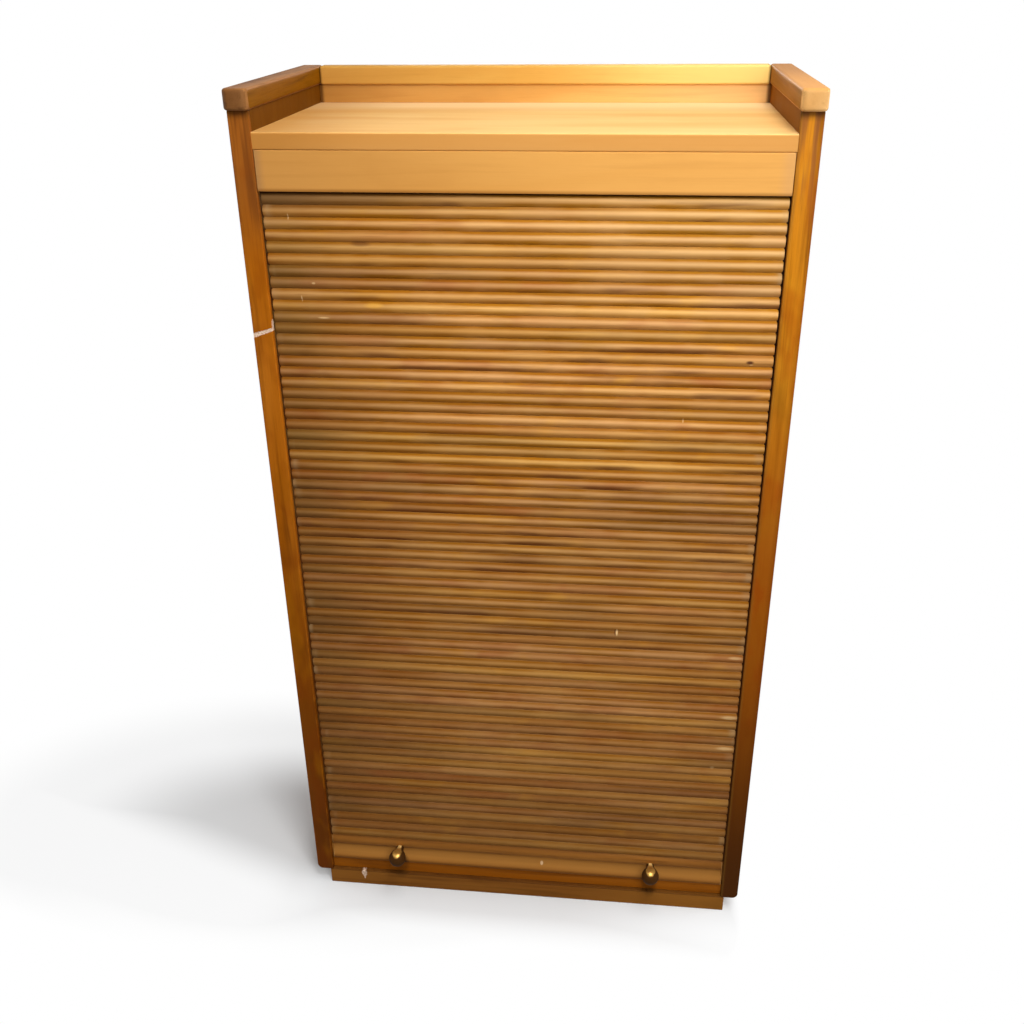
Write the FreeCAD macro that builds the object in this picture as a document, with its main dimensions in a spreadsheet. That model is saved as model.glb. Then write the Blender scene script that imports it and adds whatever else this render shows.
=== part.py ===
import FreeCAD, Part
import math
import os

# Roll front tool cabinet, millimetres, +Z up, the front faces -Y.
# The origin is on the floor, at the middle of the cabinet's whole box.
# Depths are counted from the front face of the stiles, heights from the floor.

doc = FreeCAD.newDocument("roll_front_cabinet")

SIZES = (
    # the carcass
    ("carcass_width", 640.0, "over both sides"),
    ("carcass_depth", 314.0, "stile front to back"),
    ("side_height", 1108.0, "sides and stiles, from their foot to the caps"),
    ("side_thick", 24.5, "side boards"),
    ("stile_thick", 7.0, "front edging that closes the shutter groove"),
    ("stile_foot_outer", 8.0, "radius at the outer foot corner"),
    ("stile_foot_inner", 3.0, "radius at the inner foot corner"),
    ("stile_ease", 1.2, "radius along the stile's front edges"),
    ("housing_depth", 8.0, "how far boards are let into the sides"),
    # the base
    ("plinth_height", 27.0, "base frame under the carcass"),
    ("plinth_thick", 18.0, "boards of the base frame"),
    ("plinth_inset", 19.5, "from the side's outer face to the base frame"),
    ("plinth_rear_inset", 8.0, "from the cabinet's back to the base frame"),
    ("corner_block", 26.0, "glue blocks in the base frame"),
    ("bottom_thick", 19.0, "bottom board"),
    ("bottom_end_gap", 4.2, "front strip of the bottom board to each side"),
    ("bottom_strip", 9.0, "depth of that narrower front strip"),
    # the top and its tray
    ("tray_sink", 22.5, "top board below the top of the sides"),
    ("top_thick", 19.0, "top board"),
    ("face_setback", 1.0, "top, fascia and plinth behind the stile front"),
    ("nosing_ease", 1.8, "radius of the top board's front edge"),
    ("fascia_height", 44.7, "fascia under the top board"),
    ("fascia_thick", 3.8, "fascia"),
    ("end_gap", 0.6, "top board and fascia to each stile"),
    ("gallery_thick", 20.0, "upstand at the back of the tray"),
    ("cap_height", 23.0, "cap rails"),
    ("cap_lip", 2.25, "cap rail beyond each face of what it sits on"),
    ("cap_nose", 7.0, "side caps in front of the stiles"),
    ("cap_corner", 8.0, "radius of the side caps' front corners"),
    ("cap_ease", 2.6, "radius along the cap rails"),
    # inside
    ("back_thick", 8.0, "back panel"),
    ("inner_top_thick", 12.0, "board under the shutter's run"),
    ("false_back_thick", 12.0, "board in front of the shutter's rear run"),
    ("inner_drop", 2.0, "inner top's upper face above the bend's centre, downwards"),
    ("shelf_thick", 16.0, "shelves"),
    ("shelf_play", 3.5, "shelf fronts behind the lead rail"),
    ("shelf_count", 4.0, "shelves"),
    # the shutter
    ("slat_thick", 7.0, "slat over its crown"),
    ("slat_edge", 2.0, "slat at its edges"),
    ("slat_pitch", 13.75, "one slat to the next"),
    ("foot_pitch", 15.5, "the wider slats next to the lead rail"),
    ("foot_slats", 4.0, "how many of those"),
    ("slat_gap", 0.25, "play between slats"),
    ("shoulder_gap", 1.7, "slat shoulders to each side"),
    ("tongue_length", 7.5, "slat tongues in the side's groove"),
    ("tongue_thick", 4.8, "slat tongues"),
    ("tongue_lift", 0.2, "tongue off the slat's back"),
    ("groove_play", 0.5, "groove wider than the tongue, each side"),
    ("groove_depth", 8.5, "groove in the side"),
    ("bend_radius", 40.0, "slat backs round each bend"),
    ("header_play", 1.5, "slat crowns under the top board"),
    ("rear_play", 3.0, "slat crowns in front of the back panel"),
    ("rear_run_foot", 200.0, "height of the groove's rear end"),
    ("tail_run", 80.0, "shutter beyond the front bend when it is shut"),
    ("canvas_thick", 0.8, "canvas behind the slats"),
    ("canvas_inset", 6.0, "canvas inside the slats' shoulders, each end"),
    # the lead rail
    ("lead_height", 45.2, "lead rail"),
    ("rail_behind", 4.0, "back of the lead rail behind the slats' backs"),
    ("lip_front", 3.0, "finger lip behind the stile front"),
    ("lip_round", 5.0, "radius under the lip"),
    ("lip_face", 2.0, "flat on the lip's front"),
    ("cove_back", 8.5, "deepest line of the cove behind the stile front"),
    ("cove_top", 24.0, "height of that line on the rail"),
    ("bead_foot", 27.0, "height where the bead starts on the rail"),
    ("bead_front", 4.8, "bead's crown behind the stile front"),
    ("bead_shoulder", 9.8, "rail's top edge behind the stile front"),
    # the knobs
    ("knob_spread", 378.0, "knob to knob"),
    ("knob_height", 29.0, "knob above the rail's foot"),
    ("knob_sink", 2.0, "knob's socket below the cove's deepest line"),
    ("knob_length", 39.0, "knob with its spigot"),
    ("knob_radius", 12.5, "knob's ball"),
    ("knob_neck", 4.5, "knob's neck, radius"),
    ("knob_flare", 16.0, "flare behind the ball's centre"),
    ("socket_play", 0.1, "socket round the neck"),
    # the fastenings
    ("knob_screw", 2.0, "knob screw, radius"),
    ("knob_screw_grip", 9.0, "knob screw inside the knob"),
    ("screw_head", 4.0, "countersunk heads, radius"),
    ("screw_sink", 2.4, "countersunk heads, height"),
    ("screw_play", 0.05, "hole round a screw"),
    ("panel_screw", 1.75, "back panel screw, radius"),
    ("panel_screw_length", 24.0, "back panel screw"),
    ("panel_screws", 5.0, "back panel screws in each row"),
    ("panel_screw_margin", 60.0, "end screws from the carcass's outer faces"),
)

PLACES = (
    ("half_width", "sizes.carcass_width / 2"),
    ("half_inside", "sizes.carcass_width / 2 - sizes.side_thick"),
    ("half_housed", "sizes.carcass_width / 2 - sizes.side_thick + sizes.housing_depth"),
    ("half_plinth", "sizes.carcass_width / 2 - sizes.plinth_inset"),
    ("half_slat", "sizes.carcass_width / 2 - sizes.side_thick - sizes.shoulder_gap"),
    # the groove, measured outwards from the slats' backs
    ("groove_inner", "sizes.tongue_lift - sizes.groove_play"),
    ("groove_outer", "sizes.tongue_lift + sizes.tongue_thick + sizes.groove_play"),
    # depths, from the front of the stiles to the middle of the whole box
    ("front", "(sizes.knob_length - sizes.knob_sink - sizes.cove_back"
              " - sizes.carcass_depth) / 2"),
    ("side_front", "places.front + sizes.stile_thick"),
    ("face", "places.front + sizes.face_setback"),
    ("rear", "places.front + sizes.carcass_depth"),
    ("panel_front", "places.rear - sizes.back_thick"),
    ("gallery_face", "places.rear - sizes.gallery_thick"),
    ("shelf_front", "places.rail_back + sizes.shelf_play"),
    ("rear_slat_back", "places.panel_front - sizes.rear_play - sizes.slat_thick"),
    ("front_slat_back", "places.side_front + places.groove_outer"),
    ("rail_back", "places.front_slat_back + sizes.rail_behind"),
    ("cove_line", "places.front + sizes.cove_back"),
    ("front_bend", "places.front_slat_back + sizes.bend_radius"),
    ("rear_bend", "places.rear_slat_back - sizes.bend_radius"),
    ("false_rear", "places.rear_slat_back - sizes.canvas_thick - sizes.rear_play"),
    ("false_front", "places.false_rear - sizes.false_back_thick"),
    ("knob_base", "places.cove_line + sizes.knob_sink"),
    # heights
    ("foot", "sizes.plinth_height"),
    ("floor", "sizes.plinth_height + sizes.bottom_thick"),
    ("cap_foot", "sizes.plinth_height + sizes.side_height"),
    ("top_face", "places.cap_foot - sizes.tray_sink"),
    ("top_under", "places.top_face - sizes.top_thick"),
    ("fascia_foot", "places.top_under - sizes.fascia_height"),
    ("top_slat_back", "places.top_under - sizes.header_play - sizes.slat_thick"),
    ("bend_height", "places.top_slat_back - sizes.bend_radius"),
    ("inner_top_face", "places.bend_height - sizes.inner_drop + sizes.inner_top_thick"),
    ("inner_top_under", "places.bend_height - sizes.inner_drop"),
    ("bay_height", "(places.inner_top_under - places.floor"
                   " - sizes.shelf_count * sizes.shelf_thick) / (sizes.shelf_count + 1)"),
    ("lead_top", "places.floor + sizes.lead_height"),
    ("knob_axis", "places.floor + sizes.knob_height"),
)

nodes = {}


def write_sheet(name, cells, formula):
    """A sheet with one alias to a row: plain numbers, or formulas on them."""
    sheet = doc.addObject("Spreadsheet::Sheet", name)
    for row, (alias, content, *note) in enumerate(cells, 1):
        sheet.set(f"A{row}", alias)
        sheet.set(f"B{row}", f"={content}" if formula else str(content))
        sheet.setAlias(f"B{row}", alias)
        if note:
            sheet.set(f"C{row}", note[0])
    doc.recompute()
    return sheet


def own_cells(cells):
    """Formulas that name another cell of their own sheet do so by its alias alone."""
    return [(alias, formula.replace("places.", "")) for alias, formula in cells]


sizes = write_sheet("sizes", SIZES, formula=False)
places = write_sheet("places", own_cells(PLACES), formula=True)


def size(alias):
    return float(sizes.get(alias))


def place(alias):
    return float(places.get(alias))


def between(name, x, y, z):
    """A board between two expressions along each axis."""
    box = doc.addObject("Part::Box", name)
    for length, axis, (low, high) in zip(("Length", "Width", "Height"), "xyz", (x, y, z)):
        box.setExpression(length, f"({high}) - ({low})")
        box.setExpression(f".Placement.Base.{axis}", low)
    return box


def centred(half):
    return f"-({half})", half


def set_down(piece, along, x, y, z):
    """Turns a round piece to lie along a direction, from a point."""
    piece.Placement.Rotation = FreeCAD.Rotation(FreeCAD.Vector(0, 0, 1), along)
    for axis, expression in zip("xyz", (x, y, z)):
        piece.setExpression(f".Placement.Base.{axis}", expression)


def round_bar(name, radius, x, y, z, length, along):
    """A cylinder from a point, along a direction."""
    bar = doc.addObject("Part::Cylinder", name)
    bar.setExpression("Radius", radius)
    bar.setExpression("Height", length)
    set_down(bar, along, x, y, z)
    return bar


def countersunk(name, radius, x, y, z, length, play="0"):
    """A screw driven forwards with its head flush at y, or the hole round one."""
    shank = round_bar(f"{name}_shank", f"{radius} + {play}", x, y, z, length, FORWARD)
    head = doc.addObject("Part::Cone", f"{name}_head")
    head.setExpression("Radius1", f"sizes.screw_head + {play}")
    head.setExpression("Radius2", f"{radius} + {play}")
    head.setExpression("Height", "sizes.screw_sink")
    set_down(head, FORWARD, x, y, z)
    return joined(name, shank, head)


def joined(name, *pieces):
    fuse = doc.addObject("Part::MultiFuse", name)
    fuse.Shapes = list(pieces)
    fuse.Refine = True
    return fuse


def grouped(name, pieces):
    group = doc.addObject("Part::Compound", name)
    group.Links = list(pieces)
    return group


def cut_from(name, base, *tools):
    cut = doc.addObject("Part::Cut", name)
    cut.Base = base
    cut.Tool = tools[0] if len(tools) == 1 else joined(f"{name}_cutters", *tools)
    cut.Refine = True
    return cut


def mirror_of(name, source):
    """The same piece on the cabinet's other side."""
    twin = doc.addObject("Part::Mirroring", name)
    twin.Source = source
    twin.Normal = FreeCAD.Vector(1, 0, 0)
    return twin


def rounded(name, base, radius, is_chosen):
    """Fillets the edges that is_chosen picks by their bounding box."""
    doc.recompute()
    fillet = doc.addObject("Part::Fillet", name)
    fillet.Base = base
    edges = enumerate(base.Shape.Edges, 1)
    fillet.Edges = [(i, radius, radius) for i, edge in edges if is_chosen(edge.BoundBox)]
    return fillet


def keep(label, piece):
    """Makes a piece one of the cabinet's sub-parts, under its own label."""
    piece.Label = label
    nodes[label] = piece
    return piece


def keep_pair(name, left):
    keep(f"left_{name}", left)
    keep(f"right_{name}", mirror_of(f"right_{name}", left))


def near(a, b):
    return abs(a - b) < 0.01


FORWARD = FreeCAD.Vector(0, -1, 0)
ACROSS = FreeCAD.Vector(1, 0, 0)


# ---- the shutter's track -------------------------------------------------------------

def quarter(name, centre, turned):
    """One bend of the groove: a quarter ring, cut from the inside of the left side."""
    rings = []
    for part, extra in (("outer", "places.groove_outer"), ("inner", "places.groove_inner")):
        ring = doc.addObject("Part::Cylinder", f"{name}_{part}")
        ring.setExpression("Radius", f"sizes.bend_radius + {extra}")
        ring.setExpression("Height", "sizes.groove_depth")
        ring.Angle = 90
        ring.Placement.Rotation = turned
        ring.setExpression(".Placement.Base.x", "-places.half_inside")
        ring.setExpression(".Placement.Base.y", centre)
        ring.setExpression(".Placement.Base.z", "places.bend_height")
        rings.append(ring)
    return cut_from(name, *rings)


def track():
    """The groove in the left side: up the front, back under the top, down the back."""
    depth = ("-places.half_inside - sizes.groove_depth", "-places.half_inside")
    up = FreeCAD.Vector(0, 0, 1)
    back = FreeCAD.Vector(0, 1, 0)
    inwards = FreeCAD.Vector(-1, 0, 0)
    front_turn = FreeCAD.Rotation(FORWARD, up, inwards, "XYZ")
    rear_turn = FreeCAD.Rotation(up, back, inwards, "XYZ")
    runs = (
        between("front_run", depth,
                ("places.front_slat_back - places.groove_outer",
                 "places.front_slat_back - places.groove_inner"),
                ("places.foot", "places.bend_height")),
        between("top_run", depth,
                ("places.front_bend", "places.rear_bend"),
                ("places.top_slat_back + places.groove_inner",
                 "places.top_slat_back + places.groove_outer")),
        between("rear_run", depth,
                ("places.rear_slat_back + places.groove_inner",
                 "places.rear_slat_back + places.groove_outer"),
                ("sizes.rear_run_foot", "places.bend_height")),
    )
    bends = (
        quarter("front_turn", "places.front_bend", front_turn),
        quarter("rear_turn", "places.rear_bend", rear_turn),
    )
    return joined("track", *runs, *bends)


# ---- the carcass ---------------------------------------------------------------------

def shelf_foot(number):
    """Height of a shelf's underside, counted up from 1."""
    return (f"places.floor + {number} * places.bay_height"
            f" + ({number} - 1) * sizes.shelf_thick")


SHELVES = range(1, int(size("shelf_count")) + 1)


def housings():
    """Where the boards are let into the left side."""
    depth = ("-places.half_housed", "-places.half_inside")
    inside = ("places.shelf_front", "places.false_front")
    cuts = [
        between("top_housing", depth, ("places.side_front", "places.panel_front"),
                ("places.top_under", "places.top_face")),
        between("bottom_housing", depth,
                ("places.side_front + sizes.bottom_strip",
                 "places.panel_front"),
                ("places.foot", "places.floor")),
        between("inner_top_housing", depth, inside,
                ("places.inner_top_under", "places.inner_top_face")),
        between("false_back_housing", depth, ("places.false_front", "places.false_rear"),
                ("places.floor", "places.inner_top_face")),
        between("back_rebate", depth, ("places.panel_front", "places.rear"),
                ("places.foot", "places.top_face")),
    ]
    for number in SHELVES:
        foot = shelf_foot(number)
        cuts.append(between(f"shelf_housing_{number}", depth, inside,
                            (foot, f"{foot} + sizes.shelf_thick")))
    return cuts


def sides():
    blank = between("side_blank", ("-places.half_width", "-places.half_inside"),
                    ("places.side_front", "places.rear"), ("places.foot", "places.cap_foot"))
    keep_pair("side", cut_from("left_side", blank, track(), *housings()))


def stiles():
    """The front edging, with rounded foot corners and eased front edges."""
    blank = between("stile_blank", ("-places.half_width", "-places.half_inside"),
                    ("places.front", "places.side_front"), ("places.foot", "places.cap_foot"))
    foot, outer = place("foot"), -place("half_width")

    def at_foot(x):
        return lambda b: b.YLength > 1 and near(b.ZMax, foot) and near(b.XMax, x)

    heel = rounded("stile_heel", blank, size("stile_foot_outer"), at_foot(outer))
    toe = rounded("stile_toe", heel, size("stile_foot_inner"),
                  at_foot(-place("half_inside")))
    front = place("front")
    eased = rounded("left_stile", toe, size("stile_ease"),
                    lambda b: near(b.YMax, front) and not near(b.ZMin, place("cap_foot")))
    keep_pair("stile", eased)


def top_board():
    """Runs between the stiles at the front and into the sides behind them."""
    height = ("places.top_under", "places.top_face")
    front = between("top_front", centred("places.half_inside - sizes.end_gap"),
                    ("places.face", "places.panel_front"), height)
    housed = between("top_housed", centred("places.half_housed"),
                     ("places.side_front", "places.panel_front"), height)
    board = joined("top_blank", front, housed)
    nosed = rounded("top_nosed", board, size("nosing_ease"),
                    lambda b: near(b.YMax, place("face")) and b.XLength > 1)
    return keep("top_panel", cut_from("top_panel", nosed, *panel_screw_holes("top", TOP_ROW)))


def bottom_board():
    """Housed in the sides; its front strip stops short to let the tongues pass."""
    height = ("places.foot", "places.floor")
    strip_back = "places.side_front + sizes.bottom_strip"
    strip = between("bottom_strip", centred("places.half_inside - sizes.bottom_end_gap"),
                    ("places.side_front", strip_back), height)
    board = between("bottom_housed", centred("places.half_housed"),
                    (strip_back, "places.panel_front"), height)
    blank = joined("bottom_blank", strip, board)
    holes = panel_screw_holes("bottom", BOTTOM_ROW)
    return keep("bottom_panel", cut_from("bottom_panel", blank, *holes))


def fascia():
    keep("fascia", between("fascia", centred("places.half_inside - sizes.end_gap"),
                           ("places.face", "places.face + sizes.fascia_thick"),
                           ("places.fascia_foot", "places.top_under")))


def gallery():
    """The tray's upstand and the cap rails along its three sides."""
    keep("gallery_back", between("gallery_back", centred("places.half_inside"),
                                 ("places.gallery_face", "places.rear"),
                                 ("places.top_face", "places.cap_foot")))
    cap_z = ("places.cap_foot", "places.cap_foot + sizes.cap_height")
    cap_inner = "places.half_inside - sizes.cap_lip"
    side = between("side_cap", ("-places.half_width - sizes.cap_lip", f"-({cap_inner})"),
                   ("places.front - sizes.cap_nose", "places.rear"), cap_z)
    nose = place("front") - size("cap_nose")
    corners = rounded("side_cap_corners", side, size("cap_corner"),
                      lambda b: near(b.YMax, nose) and b.ZLength > 1)
    level = (place("cap_foot"), place("cap_foot") + size("cap_height"))
    eased = rounded("left_cap", corners, size("cap_ease"),
                    lambda b: b.ZLength < 0.01 and not near(b.YMin, place("rear"))
                    and (near(b.ZMin, level[0]) or near(b.ZMin, level[1])))
    keep_pair("cap", eased)
    rear = between("rear_cap_blank", centred(cap_inner),
                   ("places.gallery_face - sizes.cap_lip * 2", "places.rear"), cap_z)
    keep("rear_cap", rounded("rear_cap", rear, size("cap_ease"),
                             lambda b: b.XLength > 1 and near(b.ZMin, level[1])))


def base_frame():
    height = ("0", "places.foot")
    back = "places.rear - sizes.plinth_rear_inset"
    front_inner = "places.face + sizes.plinth_thick"
    back_inner = f"{back} - sizes.plinth_thick"
    keep("plinth_front", between("plinth_front", centred("places.half_plinth"),
                                 ("places.face", front_inner), height))
    keep("plinth_back", between("plinth_back", centred("places.half_plinth"),
                                (back_inner, back), height))
    inner = "-places.half_plinth + sizes.plinth_thick"
    keep_pair("plinth", between("plinth_side", ("-places.half_plinth", inner),
                                (front_inner, back_inner), height))
    blocks = []
    for end, y in (("front", (front_inner, f"{front_inner} + sizes.corner_block")),
                   ("back", (f"{back_inner} - sizes.corner_block", back_inner))):
        left = between(f"block_{end}", (inner, f"{inner} + sizes.corner_block"), y,
                       ("places.foot - sizes.corner_block", "places.foot"))
        blocks += [left, mirror_of(f"block_{end}_right", left)]
    keep("corner_blocks", grouped("corner_blocks", blocks))


# ---- inside --------------------------------------------------------------------------

def interior():
    width = centred("places.half_housed")
    depth = ("places.shelf_front", "places.false_front")
    keep("inner_top", between("inner_top", width, depth,
                              ("places.inner_top_under", "places.inner_top_face")))
    keep("false_back", between("false_back", width, ("places.false_front", "places.false_rear"),
                               ("places.floor", "places.inner_top_face")))
    for number in SHELVES:
        foot = shelf_foot(number)
        keep(f"shelf_{number}", between(f"shelf_{number}", width, depth,
                                        (foot, f"{foot} + sizes.shelf_thick")))


# ---- the back panel and its screws ---------------------------------------------------

TOP_ROW = "(places.top_under + places.top_face) / 2"
BOTTOM_ROW = "(places.foot + places.floor) / 2"
PANEL_SCREWS = range(int(size("panel_screws")))


def panel_screw_x(number):
    """Screws spread evenly between two margins, counted from 0."""
    reach = "(places.half_width - sizes.panel_screw_margin)"
    return f"{reach} * (2 * {number} / (sizes.panel_screws - 1) - 1)"


def panel_screw_holes(name, row):
    """Holes for one row of screws in the edge of a board."""
    return [round_bar(f"{name}_hole_{n}", "sizes.panel_screw + sizes.screw_play",
                      panel_screw_x(n), "places.rear", row, "sizes.panel_screw_length", FORWARD)
            for n in PANEL_SCREWS]


def panel_screw_row(name, row, play):
    return [countersunk(f"{name}_{n}", "sizes.panel_screw", panel_screw_x(n), "places.rear",
                        row, "sizes.panel_screw_length", play)
            for n in PANEL_SCREWS]


def back_panel():
    blank = between("panel_blank", centred("places.half_housed"),
                    ("places.panel_front", "places.rear"), ("places.foot", "places.top_face"))
    sinks = [sink for name, row in (("top_sink", TOP_ROW), ("low_sink", BOTTOM_ROW))
             for sink in panel_screw_row(name, row, "sizes.screw_play")]
    keep("back_panel", cut_from("back_panel", blank, *sinks))
    screws = [screw for name, row in (("top_screw", TOP_ROW), ("low_screw", BOTTOM_ROW))
              for screw in panel_screw_row(name, row, "0")]
    keep("back_screws", grouped("back_screws", screws))


# ---- the shutter ---------------------------------------------------------------------

def slat_blank(name, pitch):
    """One slat: a round front on a flat back, with a thin tongue at each end."""
    rise = "(sizes.slat_thick - sizes.slat_edge)"
    half = f"(({pitch} - sizes.slat_gap) / 2)"
    radius = f"({half} * {half} + {rise} * {rise}) / (2 * {rise})"
    tongue_end = "places.half_inside + sizes.tongue_length"
    crown = round_bar(f"{name}_crown", radius, f"-({tongue_end})",
                      f"({radius}) - sizes.slat_thick", "0", f"2 * ({tongue_end})", ACROSS)
    body = between(f"{name}_body", centred("places.half_slat"), ("-sizes.slat_thick", "0"),
                   centred(half))
    tongues = between(f"{name}_tongues", centred(tongue_end),
                      ("-sizes.tongue_lift - sizes.tongue_thick", "-sizes.tongue_lift"),
                      centred(half))
    slat = doc.addObject("Part::Common", name)
    slat.Base = crown
    slat.Tool = joined(f"{name}_stock", body, tongues)
    return slat


def along_track(distance):
    """Placement of a slat whose middle is this far up the track from the lead rail."""
    radius = size("bend_radius")
    straight = place("bend_height") - place("lead_top")
    bend = radius * math.pi / 2
    if distance < straight:
        y, z, angle = place("front_slat_back"), place("lead_top") + distance, 0.0
    elif distance < straight + bend:
        angle = (distance - straight) / radius
        y = place("front_bend") - radius * math.cos(angle)
        z = place("bend_height") + radius * math.sin(angle)
    else:
        y = place("front_bend") + distance - straight - bend
        z, angle = place("top_slat_back"), math.pi / 2
    turn = FreeCAD.Rotation(ACROSS, -math.degrees(angle))
    return FreeCAD.Placement(FreeCAD.Vector(0, y, z), turn)


def shutter_length():
    bend = size("bend_radius") * math.pi / 2
    return place("bend_height") - place("lead_top") + bend + size("tail_run")


BANDS = 26


def slats():
    """The slats from the lead rail upwards, kept in bands of neighbours."""
    blanks = slat_blank("slat", "sizes.slat_pitch"), slat_blank("foot_slat", "sizes.foot_pitch")
    doc.recompute()
    plain, wide = (blank.Shape.copy() for blank in blanks)
    shapes, reached = [], 0.0
    while True:
        is_foot = len(shapes) < size("foot_slats")
        pitch = size("foot_pitch") if is_foot else size("slat_pitch")
        if reached + pitch > shutter_length():
            break
        shape = (wide if is_foot else plain).copy()
        shape.Placement = along_track(reached + pitch / 2).multiply(shape.Placement)
        shapes.append(shape)
        reached += pitch
    for band in range(BANDS):
        first, last = (len(shapes) * edge // BANDS for edge in (band, band + 1))
        piece = doc.addObject("Part::Feature", f"slats_{band + 1:02d}")
        piece.Shape = Part.makeCompound(shapes[first:last])
        piece.Placement = FreeCAD.Placement()
        keep(f"slats_{band + 1:02d}", piece)
    return reached


def canvas(length):
    """The cloth that the slats are glued to, as long as they are."""
    width = centred("places.half_slat - sizes.canvas_inset")
    straight = place("bend_height") - place("lead_top")
    tail = length - straight - size("bend_radius") * math.pi / 2
    flat = between("canvas_front", width,
                   ("places.front_slat_back", "places.front_slat_back + sizes.canvas_thick"),
                   ("places.lead_top", "places.bend_height"))
    over = between("canvas_top", width, ("places.front_bend", f"places.front_bend + {tail}"),
                   ("places.top_slat_back - sizes.canvas_thick", "places.top_slat_back"))
    rings = []
    for name, radius in (("canvas_bend_outer", "sizes.bend_radius"),
                         ("canvas_bend_inner", "sizes.bend_radius - sizes.canvas_thick")):
        ring = doc.addObject("Part::Cylinder", name)
        ring.Angle = 90
        ring.setExpression("Radius", radius)
        ring.setExpression("Height", f"2 * ({width[1]})")
        ring.Placement.Rotation = FreeCAD.Rotation(
            FORWARD, FreeCAD.Vector(0, 0, 1), FreeCAD.Vector(-1, 0, 0), "XYZ")
        ring.setExpression(".Placement.Base.x", width[1])
        ring.setExpression(".Placement.Base.y", "places.front_bend")
        ring.setExpression(".Placement.Base.z", "places.bend_height")
        rings.append(ring)
    keep("canvas_backing", joined("canvas_backing", flat, over, cut_from("canvas_bend", *rings)))


# ---- the lead rail and its knobs -----------------------------------------------------

def rail_outline():
    """The rail's section: finger lip, cove and bead on the front, flat behind."""
    foot, front = place("floor"), place("front")

    def at(depth, height):
        return FreeCAD.Vector(0, front + depth, foot + height)

    lip, turn = size("lip_front"), size("lip_round")
    diagonal = turn * (1 - math.sqrt(0.5))
    cove_foot = turn + size("lip_face")
    cove_rise = size("cove_top") - cove_foot
    cove_depth = size("cove_back") - lip
    cove_radius = (cove_depth ** 2 + cove_rise ** 2) / (2 * cove_depth)
    half_angle = math.asin(cove_rise / cove_radius) / 2
    cove_middle = at(size("cove_back") - cove_radius * (1 - math.cos(half_angle)),
                     size("cove_top") - cove_radius * math.sin(half_angle))
    bead_middle = (size("bead_foot") + size("lead_height")) / 2
    back = place("rail_back") - front
    back_foot, back_top = at(back, 0), at(back, size("lead_height"))
    shoulder = at(size("bead_shoulder"), size("lead_height"))
    cove_top, bead_foot = (at(size("cove_back"), size(name)) for name in ("cove_top", "bead_foot"))
    edges = [
        Part.LineSegment(back_foot, at(lip + turn, 0)),
        Part.Arc(at(lip + turn, 0), at(lip + diagonal, diagonal), at(lip, turn)),
        Part.LineSegment(at(lip, turn), at(lip, cove_foot)),
        Part.Arc(at(lip, cove_foot), cove_middle, cove_top),
        Part.LineSegment(cove_top, bead_foot),
        Part.Arc(bead_foot, at(size("bead_front"), bead_middle), shoulder),
        Part.LineSegment(shoulder, back_top),
        Part.LineSegment(back_top, back_foot),
    ]
    outline = doc.addObject("Part::Feature", "rail_outline")
    outline.Shape = Part.Face(Part.Wire([edge.toShape() for edge in edges]))
    outline.setExpression(".Placement.Base.x", "-places.half_slat")
    return outline


def knob_x(sign):
    return f"{sign} * sizes.knob_spread / 2"


def lead_rail():
    moulded = doc.addObject("Part::Extrusion", "rail_moulded")
    moulded.Base = rail_outline()
    moulded.DirMode = "Custom"
    moulded.Dir = ACROSS
    moulded.Solid = True
    moulded.setExpression("LengthFwd", "2 * places.half_slat")
    tongue = between("rail_tongue", centred("places.half_inside + sizes.tongue_length"),
                     ("places.front_slat_back - sizes.tongue_lift - sizes.tongue_thick",
                      "places.front_slat_back - sizes.tongue_lift"),
                     ("places.floor", "places.lead_top"))
    cutters = []
    for side, sign in (("left", -1), ("right", 1)):
        cutters.append(round_bar(f"{side}_socket", "sizes.knob_neck + sizes.socket_play",
                                 knob_x(sign), "places.knob_base", "places.knob_axis",
                                 "places.knob_base - places.front", FORWARD))
        cutters.append(knob_screw(f"{side}_screw_hole", sign, "sizes.screw_play"))
    whole = joined("rail_whole", moulded, tongue)
    keep("lead_rail", cut_from("lead_rail", whole, *cutters))


def knob_screw(name, sign, play="0"):
    """From the back of the rail into the knob."""
    length = "places.rail_back - places.knob_base + sizes.knob_screw_grip"
    return countersunk(name, "sizes.knob_screw", knob_x(sign),
                       "places.rail_back", "places.knob_axis", length, play)


def knob(name, sign):
    """A turned brass knob: a ball that narrows to a neck, seated in the rail."""
    ball_back = "sizes.knob_length - sizes.knob_radius"
    neck = round_bar(f"{name}_neck", "sizes.knob_neck", knob_x(sign), "places.knob_base",
                     "places.knob_axis", ball_back, FORWARD)
    ball = doc.addObject("Part::Sphere", f"{name}_ball")
    ball.setExpression("Radius", "sizes.knob_radius")
    ball_y = f"places.knob_base - ({ball_back})"
    flare_end = "(sizes.knob_radius * 0.35)"
    flare = doc.addObject("Part::Cone", f"{name}_flare")
    flare.setExpression("Radius1", "sizes.knob_neck")
    flare.setExpression("Radius2", f"sqrt(sizes.knob_radius ^ 2 - {flare_end} ^ 2)")
    flare.setExpression("Height", f"sizes.knob_flare - {flare_end}")
    for piece, y in ((ball, ball_y), (flare, f"{ball_y} + sizes.knob_flare")):
        set_down(piece, FORWARD, knob_x(sign), y, "places.knob_axis")
    hole = round_bar(f"{name}_hole", "sizes.knob_screw + sizes.screw_play", knob_x(sign),
                     "places.knob_base", "places.knob_axis", "sizes.knob_screw_grip", FORWARD)
    keep(name, cut_from(name, joined(f"{name}_turned", neck, flare, ball), hole))


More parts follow.
